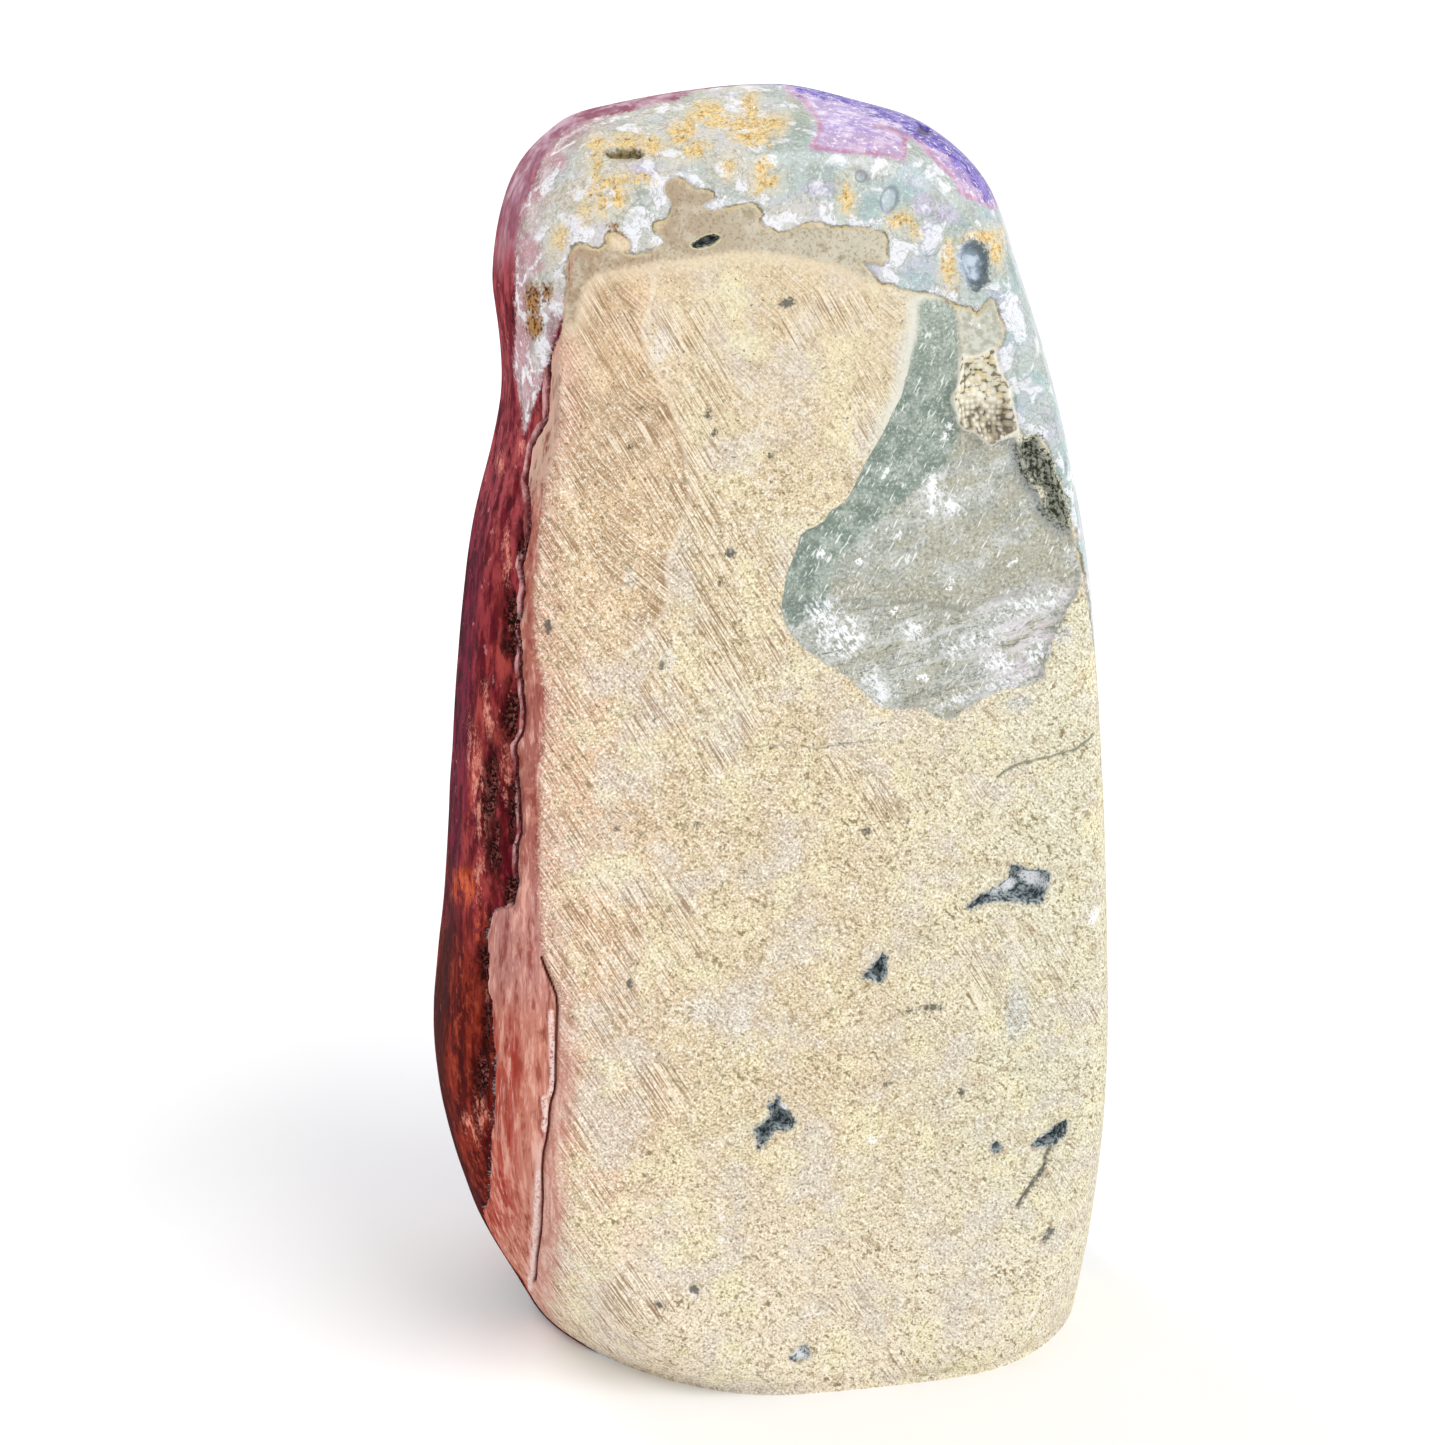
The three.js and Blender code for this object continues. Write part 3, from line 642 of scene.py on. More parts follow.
def left_distance(pixels, plain):
    """Distance in mm to the edge where the ground face turns over to the left, negative beyond it."""
    return (pixels[:, 0] - np.interp(plain[:, 1], *zip(*GROUND_LEFT))) * PHOTO_MM


def markings(points, normals):
    """The stone's markings as distances in mm, negative inside, by name."""
    wobble = np.stack([rough_noise(points, 2.6, 2, seed) for seed in (11, 12)], axis=1)
    plain = to_photo(points)
    pixels = plain + WOBBLE_PIXELS * wobble
    m = {name: drawn(pixels, name) for name in {**OUTLINES, **LINES, **SPOTS}}
    m["rind"] = outline_distance(pixels, BEYOND_MATRIX)
    m["amethyst"] = np.minimum(m["cap"], outline_distance(pixels, LEFT_SIDE))
    m["left"] = np.clip(left_distance(pixels, plain), -FAR_MM, FAR_MM)
    m["grey"] = drawn(plain + GREY_WOBBLE_PIXELS * wobble, "grey")
    m["crack"] = line_distance(plain, rounded(CRACK, False))
    m["ridge"] = line_distance(pixels + (4, 0), POLISHED_RIDGE)
    m["gold"] += 0.5 * noise(points, 1.3, 13)
    m["pit"] += 0.5 * noise(points, 1.6, 14)
    depth = layer_depth(points)
    hidden = {
        "rind": -depth,
        "amethyst": np.interp(points[:, 0], *zip(*QUARTZ_ACROSS)) - depth,
        "violet": np.full(len(points), -FAR_MM),
        "left": points[:, 0] - HIDDEN_LEFT,
    }
    seen = seen_in_photo(points, normals)
    for name in m:
        unseen = np.clip(hidden.get(name, FAR_MM), -FAR_MM, FAR_MM)
        m[name] = unseen + (m[name] - unseen) * seen
    place = plain * PHOTO_MM
    return m | {"seen": seen, "depth": depth, "photo_across": place[:, 0], "photo_down": place[:, 1]}


def edge_wanted(points, normals):
    """The longest edge allowed at each point, in mm."""
    wanted = np.full(len(points), GRID_MM)
    rim = np.abs(hollow_share(points[:, 0], points[:, 2]) - 1) < 0.08
    wanted[rim & (points[:, 1] > HOLLOW_MIDDLE)] = NEAR_MM
    shown = np.flatnonzero(seen_in_photo(points, normals) > 0)
    pixels = to_photo(points[shown])
    edge = outline_distance(pixels, BEYOND_MATRIX)
    grey = drawn(pixels, "grey")
    grains = nearest(drawn, pixels, ("pocket", "dark_pocket"))
    holes = nearest(drawn, pixels, ("slit", "blue_hollow", "gold_hollow", "vug"))
    spots = nearest(spot_distance, pixels, [SPOTS[name] for name in ("gold", "dark", "white", "ring", "pit")])
    lines = nearest(line_distance, pixels, (CRACK, RIGHT_CRACK, LEVEL_LINE, VUG_VEIN) + WHITE_LINES)
    flank = left_distance(pixels, pixels)
    low = points[shown, 2] < 2.5
    near = (edge < 2) | (grey < 2) | (flank < 4) | (holes < 2) | (spots < 1.5) | (lines < 2) | low
    marked = (np.abs(edge) < 1.6) | (grey < 0.8) | (holes < 1) | (spots < 0.6) | (lines < 1.4)
    marked |= (np.abs(flank + 3) < 4) | low | ((edge < 0) & (pixels[:, 1] < 330))
    fine = (np.abs(edge) < 0.45) | (np.abs(grey) < 0.4) | (grains < 0.5) | (holes < 0.4) | (lines < 0.6)
    wanted[shown] = np.select([fine, marked, near], [FINE_MM, MARKED_MM, NEAR_MM], GRID_MM)
    return wanted


# ---- relief: everything is cut into the lump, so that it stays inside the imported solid's box ----

FLAT_MM = 0.01  # what lies lower is the cut base


def inside(distance, edge):
    """1 inside a marking, fading to 0 across this many mm at its edge."""
    return smooth_step(0.5 - distance / edge)


def along(distance, width):
    """1 on a line, fading to 0 this many mm away."""
    return smooth_step(1 - distance / width)


def sunk(distance, slope):
    """0 at a marking's edge, and 1 from this many mm inside it."""
    return smooth_step(-distance / slope)


def beads(points, size, seed):
    """Round grains packed side by side: 1 at the top of each and 0 between them, and a tone for each."""
    p = points / size + 50
    cell = np.floor(p)
    closest, tone = np.full(len(points), 9.0), np.zeros(len(points))
    for step in np.ndindex(3, 3, 3):
        other = cell + np.array(step) - 1
        moved = np.stack([cell_random(other, seed + k) for k in range(3)], axis=1) - 0.5
        middle = other + 0.5 + 0.6 * moved
        away = np.linalg.norm(p - middle, axis=1)
        tone = np.where(away < closest, cell_random(other, seed + 3), tone)
        closest = np.minimum(closest, away)
    return np.sqrt(np.clip(1 - (closest / 0.75) ** 2, 0, 1)), tone


def relief(points, m):
    """How far each point of the surface is cut in, in mm."""
    def gaps(size, seed):
        return 1 - beads(points, size, seed)[0]

    seen = m["seen"]
    ground = inside(-m["rind"], 1.2) * seen
    rind = 1 - ground
    left = inside(m["left"] + 0.5, 1.5) * seen
    swell = 0.5 + 0.5 * rough_noise(points, 14, 2, 21) / 1.5
    lumps = 0.5 + 0.5 * rough_noise(points, 3.5, 3, 22) / 1.75
    fine = 0.5 + 0.5 * rough_noise(points, 1.3, 2, 23) / 1.5
    strands = 0.5 + 0.5 * noise(points, (2.2, 2.2, 12), 24)

    # The broad faces, and the lines between them.
    cut = (0.5 - 0.25 * seen) * swell * rind + 0.12 * lumps * ground
    cut += seen * rind * (0.3 * lumps + 0.1 * fine)
    cut += left * (0.05 + 0.3 * strands + 0.2 * lumps - 0.4 * along(m["ridge"], 0.6))
    cut += 0.7 * along(m["agate_line"], 0.6) * inside(np.abs(m["left"]) - 9, 2)
    cut += 0.5 * along(m["dark_line"], 0.7) + 0.45 * along(np.abs(m["rind"]), 0.5) * seen

    # The grey patch, without a step round its top.
    whole = smooth_step((to_photo(points)[:, 1] - 320) / 90)
    broken = 0.4 * rough_noise(points, (9, 9, 6), 3, 25) / 1.5 + 0.25 * smooth_step(m["step"] / 3)
    cut += inside(m["grey"] + 0.2, 0.6) * whole * (1.1 + broken + 0.12 * fine)

    # Pockets, holes and pits, with grains in them.
    grains, tone = beads(points, 1.1, 31)
    cut += sunk(m["pocket"], 2.4) * (3.2 + 0.9 * noise(points, 3, 27))
    cut -= 0.7 * inside(m["pocket"] + 0.5, 0.8) * grains
    cut += sunk(m["dark_pocket"], 1.6) * (2.2 + 0.8 * lumps)
    cut -= 0.5 * inside(m["dark_pocket"] + 0.3, 0.6) * (1 - gaps(1.3, 32))
    cut += sunk(m["vug"] + 0.25 * fine, 1.3) * (2.8 + 0.5 * lumps + 0.4 * gaps(1.2, 33))
    for name, deep, slope in (("slit", 2.4, 0.8), ("blue_hollow", 1.8, 2.2), ("gold_hollow", 1.6, 1.0)):
        cut += deep * sunk(m[name], slope)
    cut += inside(m["pit"], 1.1) * (0.7 + gaps(1.6, 30))
    cut += inside(m["gold"], 0.5) * (0.15 + 0.5 * gaps(1.1, 34))
    cut += 0.8 * inside(m["ring"], 0.6) + 0.6 * inside(m["dark"], 0.5) - 0.1 * inside(m["white"], 0.5)
    cut += 1.3 * along(m["crack"], 0.6 + 0.35 * noise(points, 5, 28)) - 0.25 * along(m["lip"], 0.7)
    cut += 0.3 * along(m["hairline"], 0.4)

    # The chipped edge of the base.
    chipped = smooth_step(1 - points[:, 2] / 4) * (points[:, 2] > FLAT_MM)
    cut += chipped * (0.2 + 1.8 * np.clip(noise(points, 7, 26), 0, 1) + 0.5 * lumps)
    outside = (points[:, 1] < HOLLOW_MIDDLE) | (hollow_share(points[:, 0], points[:, 2]) > 1.04)
    return np.clip(cut, 0, None) * outside, grains, tone


def mesh_object(name, points, triangles):
    """A mesh of points in mm, as an object in the scene."""
    mesh = bpy.data.meshes.new(name)
    mesh.from_pydata((points * MM).tolist(), [], triangles.tolist())
    made = bpy.data.objects.new(name, mesh)
    bpy.context.scene.collection.objects.link(made)
    return made


def build_rock():
    """The geode's wall in one mesh, with its markings as attributes of the points."""
    grid, triangles = first_grid()
    for _ in range(3):
        grid, triangles = halved(grid, triangles, edge_wanted)
    points = surface(grid)
    normals = normals_of(points, triangles)
    m = markings(points, normals)
    cut, m["grains"], m["tone"] = relief(points, m)
    m["hollow"] = hollow_share(points[:, 0], points[:, 2]) + 9 * (points[:, 1] < HOLLOW_MIDDLE)
    shaped = points - normals * cut[:, None]
    shaped[points[:, 2] < FLAT_MM, 2] = 0
    rock = mesh_object("geode_rock", shaped, triangles)
    for name, values in m.items():
        attribute = rock.data.attributes.new(name, "FLOAT", "POINT")
        attribute.data.foreach_set("value", values.astype(np.float32))
    rock.data.polygons.foreach_set("use_smooth", [True] * len(rock.data.polygons))
    sharpen(rock.data)
    return rock


def sharpen(mesh):
    """Marks the edge of the cut base as sharp."""
    shape = bmesh.new()
    shape.from_mesh(mesh)
    for edge in shape.edges:
        low = all(vertex.co.z < 0.1 * MM for vertex in edge.verts)
        edge.smooth = not (low and edge.calc_face_angle(0) > math.radians(35))
    shape.to_mesh(mesh)
    shape.free()


# ---- materials ----

SEED_SHIFT = 41.3  # how far each seed moves its noise, in lumps


def rgb(red, green, blue):
    """A colour given as 0 to 255 on a screen, in the linear numbers that shaders use."""
    def linear(value):
        value /= 255
        return value / 12.92 if value <= 0.04045 else ((value + 0.055) / 1.055) ** 2.4
    return linear(red), linear(green), linear(blue), 1


class Value:
    """A shader node's output, which can be used in sums."""

    def __init__(self, nodes, socket):
        self.nodes, self.socket = nodes, socket

    def __add__(self, other):
        return self.nodes.math("ADD", self, other)

    def __sub__(self, other):
        return self.nodes.math("SUBTRACT", self, other)

    def __rsub__(self, other):
        return self.nodes.math("SUBTRACT", other, self)

    def __mul__(self, other):
        return self.nodes.math("MULTIPLY", self, other)

    def __abs__(self):
        return self.nodes.math("ABSOLUTE", self)


class Nodes:
    """Short ways to add shader nodes. Any input may be a number, a Value or the name of a mesh attribute."""

    def __init__(self, name):
        self.material = bpy.data.materials.new(name)
        self.material.use_nodes = True
        self.tree = self.material.node_tree
        self.tree.nodes.clear()
        coordinates = self.add("ShaderNodeTexCoord", {}, "Object")
        self.place = self.add("ShaderNodeVectorMath", {0: coordinates, "Scale": 1 / MM}, operation="SCALE")

    def add(self, kind, inputs, output=0, **settings):
        node = self.tree.nodes.new(kind)
        for name, value in settings.items():
            setattr(node, name, value)
        for key, value in inputs.items():
            if isinstance(value, str):
                value = self.attribute(value)
            if isinstance(value, Value):
                self.tree.links.new(value.socket, node.inputs[key])
            else:
                node.inputs[key].default_value = value
        return Value(self, node.outputs[output]) if len(node.outputs) else None

    def made(self, shader, **volume):
        """The material, from the inputs of its principled shader and any Volume."""
        surface = self.add("ShaderNodeBsdfPrincipled", shader)
        self.add("ShaderNodeOutputMaterial", {"Surface": surface, **volume})
        return self.material

    def math(self, operation, a, b=0.0):
        return self.add("ShaderNodeMath", {0: a, 1: b}, operation=operation)

    def larger(self, a, b):
        return self.math("MAXIMUM", a, b)

    def attribute(self, name):
        return self.add("ShaderNodeAttribute", {}, "Fac", attribute_name=name)

    def place_parts(self):
        """The place's x, y and z in mm."""
        return [self.add("ShaderNodeSeparateXYZ", {0: self.place}, k) for k in range(3)]

    def ramp(self, value, start, end, low=0.0, high=1.0):
        """value from start to end, turned smoothly into low to high."""
        return self.add("ShaderNodeMapRange", {"Value": value, 1: start, 2: end, 3: low, 4: high},
                        interpolation_type="SMOOTHSTEP")

    def across(self, start, end):
        """A share that goes from 0 to 1 between two columns of the photograph."""
        return self.ramp("photo_across", start * PHOTO_MM, end * PHOTO_MM)

    def down(self, start, end, low=0.0, high=1.0):
        """A share that goes from low to high between two rows of the photograph."""
        return self.ramp("photo_down", start * PHOTO_MM, end * PHOTO_MM, low, high)

    def mix(self, share, a, b):
        """Colours a and b, each three screen numbers or a Value."""
        a, b = (rgb(*colour) if isinstance(colour, tuple) else colour for colour in (a, b))
        return self.add("ShaderNodeMix", {0: share, 6: a, 7: b}, 2, data_type="RGBA")

    def between(self, share, a, b):
        """A number between a and b."""
        return self.add("ShaderNodeMix", {0: share, 2: a, 3: b}, 0, data_type="FLOAT")

    def tones(self, value, start, end, a, b):
        """Colour a up to start and b from end, with a smooth change between them."""
        return self.mix(self.ramp(value, start, end), a, b)

    def layers(self, colour, *layers):
        """The colour with others laid over it in turn, each given as (share, colour)."""
        for share, tint in layers:
            colour = self.mix(share, colour, tint)
        return colour

    def stretched(self, size, turn=(0, 0, 0), shift=0.0):
        """The place in units of size mm along each axis of a frame turned by these degrees and shifted."""
        angles = [math.radians(angle) for angle in turn]
        return self.add("ShaderNodeMapping", {"Vector": self.place, "Location": (shift, -shift, shift),
                                              "Rotation": angles, "Scale": size}, vector_type="TEXTURE")

    def noise(self, size, seed, rough=0.65, detail=3.0, turn=(0, 0, 0), bend=0.0):
        """Noise from 0 to 1, around 0.5, with lumps this many mm across."""
        sizes = size if isinstance(size, tuple) else (size, size, size)
        place = self.stretched(sizes, turn, SEED_SHIFT * seed)
        return self.add("ShaderNodeTexNoise", {"Vector": place, "Scale": 1.0, "Detail": detail,
                                               "Roughness": rough, "Distortion": bend})

    def cells(self, size, output):
        """Close-packed cells this many mm across: their "Distance" or the random "Color" of each."""
        place = self.stretched(size)
        sway = self.add("ShaderNodeTexNoise", {"Vector": place, "Scale": 1.3, "Detail": 1.0}, "Color")
        place = self.add("ShaderNodeMix", {0: 0.22, 4: place, 5: sway}, 1, data_type="VECTOR")
        return self.add("ShaderNodeTexVoronoi", {"Vector": place, "Scale": 1.2}, output)

    def line(self, value, width):
        """1 along the thin lines where a noise passes 0.5."""
        return self.ramp(abs(value - 0.5), width, width / 3)

    def rim(self, name, start, end):
        """1 along the edge of the marking of this name, from end mm, and 0 from start mm."""
        return self.ramp(abs(self.attribute(name)), start, end)

    def within(self, name, edge=0.25, ragged=0.0, grow=0.0):
        """1 inside the marking of this name. Its edge is this many mm wide, and wanders by ragged mm."""
        distance = self.attribute(name) - grow
        if ragged:
            distance = distance + (self.ragged - 0.5) * (2.6 * ragged)
        return self.ramp(distance, edge / 2, -edge / 2)


def matrix_layer(n):
    """Cream basalt, ground flat: clouded, grainy, speckled olive, with fine grinding scratches."""
    broad, cloud, grain = n.noise(15, 1, 0.6), n.noise(9, 2, 0.6), n.noise(0.5, 4, 0.8)
    facet_left = n.within("facet", 1.2, 2.0) * n.down(740, 580)
    near_side = n.attribute("left") + (n.noise(6, 17, 0.7) - 0.5) * 8.0
    calm = n.down(300, 560, 0.5, 1)
    speckle = n.ramp(n.noise((1.3, 1, 1), 6, turn=(0, 42, 0)), 0.56, 0.64)
    steep = n.noise((12, 1, 0.3), 9, 0.55, 2, (0, 60, 0))
    slant = n.noise((12, 1, 0.32), 10, 0.55, 2, (0, 42, 0))
    left = n.across(800, 560) + n.ramp(n.noise(30, 8, 0.5, 2), 0.45, 0.6, -0.4, 0.6)
    scratch = n.between(n.ramp(left, 0.35, 0.65), slant, steep)
    depth = n.ramp(cloud, 0.66, 0.36, 0.35, 1) * n.larger(facet_left, n.ramp(left, 0.1, 0.8, 0.25, 1))
    fibre = n.noise((1.4, 2, 12), 96, 0.7, turn=(5, 0, 0))
    return n.layers(
        n.mix(n.across(540, 720), (222, 180, 146), (220, 200, 166)),
        (n.across(800, 1060), (222, 217, 190)),
        # painted light: paler towards the base, to offset the shade near the floor
        (n.down(1100, 1340) * 0.6, (242, 230, 210)),
        (n.ramp(broad, 0.46, 0.64, 0, 0.65), (212, 203, 196)),
        (n.ramp(cloud, 0.48, 0.66, 0, 0.65), (236, 226, 184)),
        (n.ramp(n.noise(5, 3), 0.54, 0.7, 0, 0.55), (192, 168, 136)),
        (n.ramp(n.noise(3.2, 16, 0.7), 0.55, 0.66, 0, 0.45), (238, 230, 214)),
        (facet_left * 0.8, n.tones(cloud, 0.42, 0.6, (190, 158, 122), (224, 192, 154))),
        (n.within("pale", 1.6, 2.0) * 0.85, n.mix(n.across(960, 1000), (228, 220, 210), (194, 198, 198))),
        (n.ramp(near_side, 7, 0.5, 0, 0.9), n.mix(n.down(900, 1050), (214, 168, 146), (198, 146, 132))),
        (n.ramp(grain, 0.5, 0.66, 0, 0.95) * calm, (255, 252, 238)),
        (n.ramp(grain, 0.49, 0.34, 0, 0.9) * calm, (132, 116, 88)),
        (speckle * n.ramp(broad, 0.62, 0.38, 0.35, 1.0) * calm, (146, 132, 98)),
        (n.ramp(n.noise(0.7, 7, 0.5, 2), 0.66, 0.72) * 0.8, (102, 90, 68)),
        (n.ramp(scratch, 0.52, 0.63) * depth * 0.65, (253, 242, 220)),
        (n.ramp(scratch, 0.48, 0.37) * depth * 0.9, (150, 122, 92)),
        (n.ramp(near_side, 6.5, 1.5) * n.down(960, 1120) * 0.8,
         n.tones(fibre, 0.4, 0.6, (184, 122, 110), (216, 174, 162))),
    )


def ground_markings(n, colour):
    """What lies on the cream ground face: the taupe skin, dark and white spots, and hairline cracks."""
    skin = n.layers(
        n.mix(n.across(610, 860), (176, 154, 130), (200, 194, 174)),
        (n.ramp(n.noise(4, 12), 0.46, 0.64, 0, 0.55), (212, 204, 186)),
        (n.ramp(n.noise(2.4, 18, 0.7), 0.54, 0.66, 0, 0.55), (156, 138, 112)),
        (n.ramp(n.noise(0.7, 13, 0.75), 0.5, 0.36, 0, 0.6), (136, 120, 94)),
        (n.across(940, 958) * n.down(296, 304),
         n.tones(n.noise(1.6, 19), 0.4, 0.62, (176, 176, 160), (208, 209, 196))),
    )
    hairline = n.attribute("hairline") + n.noise(1.4, 98, 0.6) * 0.35
    return n.layers(
        colour,
        (n.rim("facet", 0.9, 0.1) * n.across(610, 640) * 0.3, (246, 234, 216)),
        (n.ramp("grey", 3.6, 0.4) * n.down(480, 400) * 0.8, (224, 224, 213)),
        (n.ramp("taupe", 4.5, 0.2, 0, 0.65), (226, 210, 182)),
        (n.within("taupe", 2.0, 1.2), skin),
        (n.within("dark", 0.5, 0.9, -0.05) * 0.85, (88, 90, 88)),
        (n.ramp(hairline, 0.62, 0.2, 0, 0.8), (112, 116, 102)),
        (n.within("white", 0.5, 1.3) * n.ramp(n.ragged, 0.4, 0.5) * 0.9, (252, 250, 250)),
    )


def grey_patch_layer(n):
    """The broken grey stone under the cream skin, green-grey along its upper left, with a painted shade line
    along its step.
    """
    grain = n.noise(0.6, 23, 0.8)
    dashes = n.noise((2.2, 1, 0.5), 24, 0.5, 1, (0, -62, 0))
    lower = n.down(560, 640)
    step = n.attribute("step") + (n.noise(2, 29, 0.7) - 0.5) * 3.0
    lilac = lower * n.across(940, 1040) * n.ramp(n.noise((6, 4, 1.6), 25, 0.7, turn=(0, -25, 0)), 0.46, 0.58)
    flakes = n.noise((8, 4, 2.2), 26, turn=(0, -14, 0), bend=0.6)
    frost = n.ramp(n.noise((1.6, 1, 0.8), 28, 0.75, turn=(0, 50, 0)), 0.45, 0.57)
    return n.layers(
        n.tones(n.noise(6, 20, 0.6), 0.38, 0.64, (170, 172, 162), (202, 204, 198)),
        (n.ramp(n.noise((14, 8, 5), 21, turn=(0, -18, 0)), 0.46, 0.6, 0, 0.8), (178, 174, 154)),
        (n.within("green", 1.8, 1.5) * 0.9,
         n.tones(n.noise(4, 22), 0.4, 0.62, (118, 136, 126), (166, 178, 168))),
        (n.down(400, 310, 0, 0.6), (180, 190, 178)),
        (n.ramp(grain, 0.5, 0.34, 0, 0.75), (116, 122, 112)),
        (n.ramp(grain, 0.52, 0.7, 0, 0.7), (232, 232, 226)),
        (n.ramp(dashes, 0.65, 0.7, 0, 0.75), (240, 242, 240)),
        # painted shade: a dark line along the step in the grey patch
        (n.ramp(step, 0.9, 0.1, 0, 0.6), (136, 138, 126)),
        (lilac * 0.7, (224, 214, 222)),
        (n.ramp(flakes, 0.56, 0.68) * lower * 0.5, (218, 218, 220)),
        (n.line(flakes, 0.014) * (lower + 0.2) * 0.6, (108, 112, 104)),
        (n.within("frost", 3.0, 2.4) * frost, (244, 246, 250)),
        (n.within("white", 0.5, 1.3), (246, 248, 248)),
    )


def quartz_layer(n):
    """The white quartz rind, warm on the left and sea-green on the right, with gold druse in it, and painted
    shade on the blue hollow's right and upper wall.
    """
    cool = n.across(700, 960) * 0.6 + n.ramp(n.noise(11, 79, 0.6), 0.42, 0.6, 0, 0.5)
    clouds = n.noise(8, 30, 0.62, 4)
    pink = n.tones(n.noise(3, 46), 0.4, 0.62, (150, 98, 108), (216, 192, 198))
    masses = n.noise(4.5, 31, 0.6, bend=0.5)
    frosted = masses + n.ramp("rind", -6, -1, -0.035, 0.06) - n.across(970, 1030) * 0.04
    swirl = n.line(n.noise(6, 47, 0.6, bend=0.8), 0.016)
    darker = n.noise((5, 5, 2.5), 45, turn=(0, 15, 0))
    grain = n.noise(0.6, 33, 0.8)
    druse = n.tones(n.noise(0.9, 39, 0.7), 0.4, 0.58, (84, 50, 22), (176, 130, 84))
    speck = n.noise(0.8, 34, 0.75)
    gold = n.tones(speck, 0.42, 0.58, (206, 170, 102), (242, 216, 160))
    gold = n.mix(n.ramp(speck, 0.42, 0.32), gold, (132, 104, 56))
    shred = n.ramp(n.noise(1.6, 35, 0.75), 0.36, 0.46)
    hollow = n.tones(n.noise(1.2, 36, 0.6), 0.4, 0.6, (96, 82, 50), (158, 144, 104))
    blue = n.tones(n.noise(1.6, 37, 0.6), 0.4, 0.6, (142, 158, 172), (206, 218, 232))
    # painted shade: the blue hollow's right and upper wall, darkened
    painted_hollow_shade = n.ramp(n.attribute("blue_hollow") + n.ragged * 1.2, -1.4, 0.0, 0, 0.9) * n.across(958, 976)
    return n.layers(
        n.mix(cool, (212, 206, 197), (172, 193, 192)),
        (n.ramp(clouds, 0.5, 0.38, 0, 0.8), n.mix(cool, (202, 194, 178), (152, 174, 172))),
        (n.ramp(clouds, 0.53, 0.65, 0, 0.6), (200, 198, 216)),
        (n.ramp("amethyst", 6, 0.5) * n.across(640, 570) * 0.85, pink),
        (n.ramp("gold", 3, 0.3, 0, 0.5), (226, 214, 184)),
        (n.within("green_spot", 2.0, 1.4) * 0.8, (150, 166, 152)),
        (n.within("lilac", 1.8, 1.2) * 0.8, (196, 188, 212)),
        (n.within("pink", 2.0, 1.2) * 0.8, (190, 140, 150)),
        (n.ramp(frosted, 0.5, 0.58, 0, 0.8), (240, 240, 246)),
        (n.line(masses, 0.014) * 0.5, (148, 144, 124)),
        (swirl * 0.45, n.mix(cool, (154, 140, 112), (128, 148, 152))),
        (n.ramp(darker, 0.55, 0.68, 0, 0.5), n.mix(cool, (170, 160, 138), (146, 162, 162))),
        (n.ramp(grain, 0.48, 0.34, 0, 0.35), (142, 148, 142)),
        (n.ramp(grain, 0.54, 0.68, 0, 0.45), (254, 254, 255)),
        (n.ramp("vein", 0.45, 0.1) * 0.65, (250, 249, 250)),
        (n.within("brown", 1.4, 1.6), druse),
        (n.within("ring", 0.8, 0.3) * 0.45, (200, 210, 220)),
        (n.rim("ring", 0.4, 0.05) * 0.6, (132, 136, 150)),
        (n.within("gold", 1.4, 2.4, 0.35) * shred, gold),
        (n.within("gold_hollow", 1.4, 1.2), hollow),
        (n.within("blue_hollow", 1.0, 1.6, 0.1), n.mix(painted_hollow_shade, blue, (78, 90, 92))),
    )


def amethyst_layer(n):
    """Polished amethyst, cut across: lilac by the quartz, violet further in, and maroon on the left."""
    crystal = (6.5, 22, 6.5)
    tone = n.cells(crystal, "Color")
    inner = n.attribute("depth") + (n.noise(9, 40, 0.6) - 0.5) * 14.0
    inner = inner + (0.5 - n.cells(crystal, "Distance")) * 5.0
    veil = n.noise((9, 5, 9), 49, 0.65, 4, bend=0.6)
    violet = n.layers(
        n.tones(inner, 12, 34, (190, 170, 218), (112, 78, 172)),
        (n.ramp(inner, 34, 58), (66, 36, 118)),
        (n.ramp(tone, 0.4, 0.75, 0, 0.35), (140, 108, 196)),
        (n.ramp(tone, 0.4, 0.1, 0, 0.35), (58, 32, 106)),
        (n.ramp(veil, 0.53, 0.68, 0, 0.6), (190, 170, 220)),
        (n.ramp(veil, 0.46, 0.34, 0, 0.5), (60, 34, 110)),
        (n.ramp(n.noise(1.6, 41, 0.75, 4), 0.6, 0.7, 0, 0.5), (214, 200, 234)),
    )
    pink = n.larger(n.ramp("cap", -2.2, -0.4), n.down(122, 146) * 0.8)
    spread = n.attribute("violet") + (n.noise(4, 66, 0.7, 4) - 0.5) * 8.0
    border = n.ramp(abs(n.attribute("cap") + n.ragged * 2.0 - 0.5), 0.7, 0.1)
    border = border * n.ramp(veil, 0.4, 0.6, 0.1, 0.7)
    cap = n.layers(
        n.tones(n.noise(2.6, 42, 0.7, 4), 0.42, 0.58, (182, 162, 204), (230, 214, 240)),
        (pink * 0.55, (200, 166, 188)),
        (n.ramp(veil, 0.51, 0.63, 0, 0.55), (150, 126, 206)),
        (n.ramp(spread, 0.9, -0.9), n.tones(n.noise(2.4, 43, 0.7), 0.4, 0.6, (76, 58, 162), (144, 124, 208))),
        (n.ramp(n.noise(1.0, 44, 0.75), 0.56, 0.66) * 0.9, (250, 247, 255)),
        (border * n.ramp("violet", -0.5, 1), (192, 128, 140)),
        (n.ramp("seam", 0.7, 0.1) * 0.5, (168, 98, 116)),
        (n.within("dark", 0.6, 0.6), (60, 50, 100)),
    )
    top = n.mix(n.within("cap", 0.8, 0.6, 1.0), violet, cap)
    return n.mix(left_share(n), top, left_colour(n))


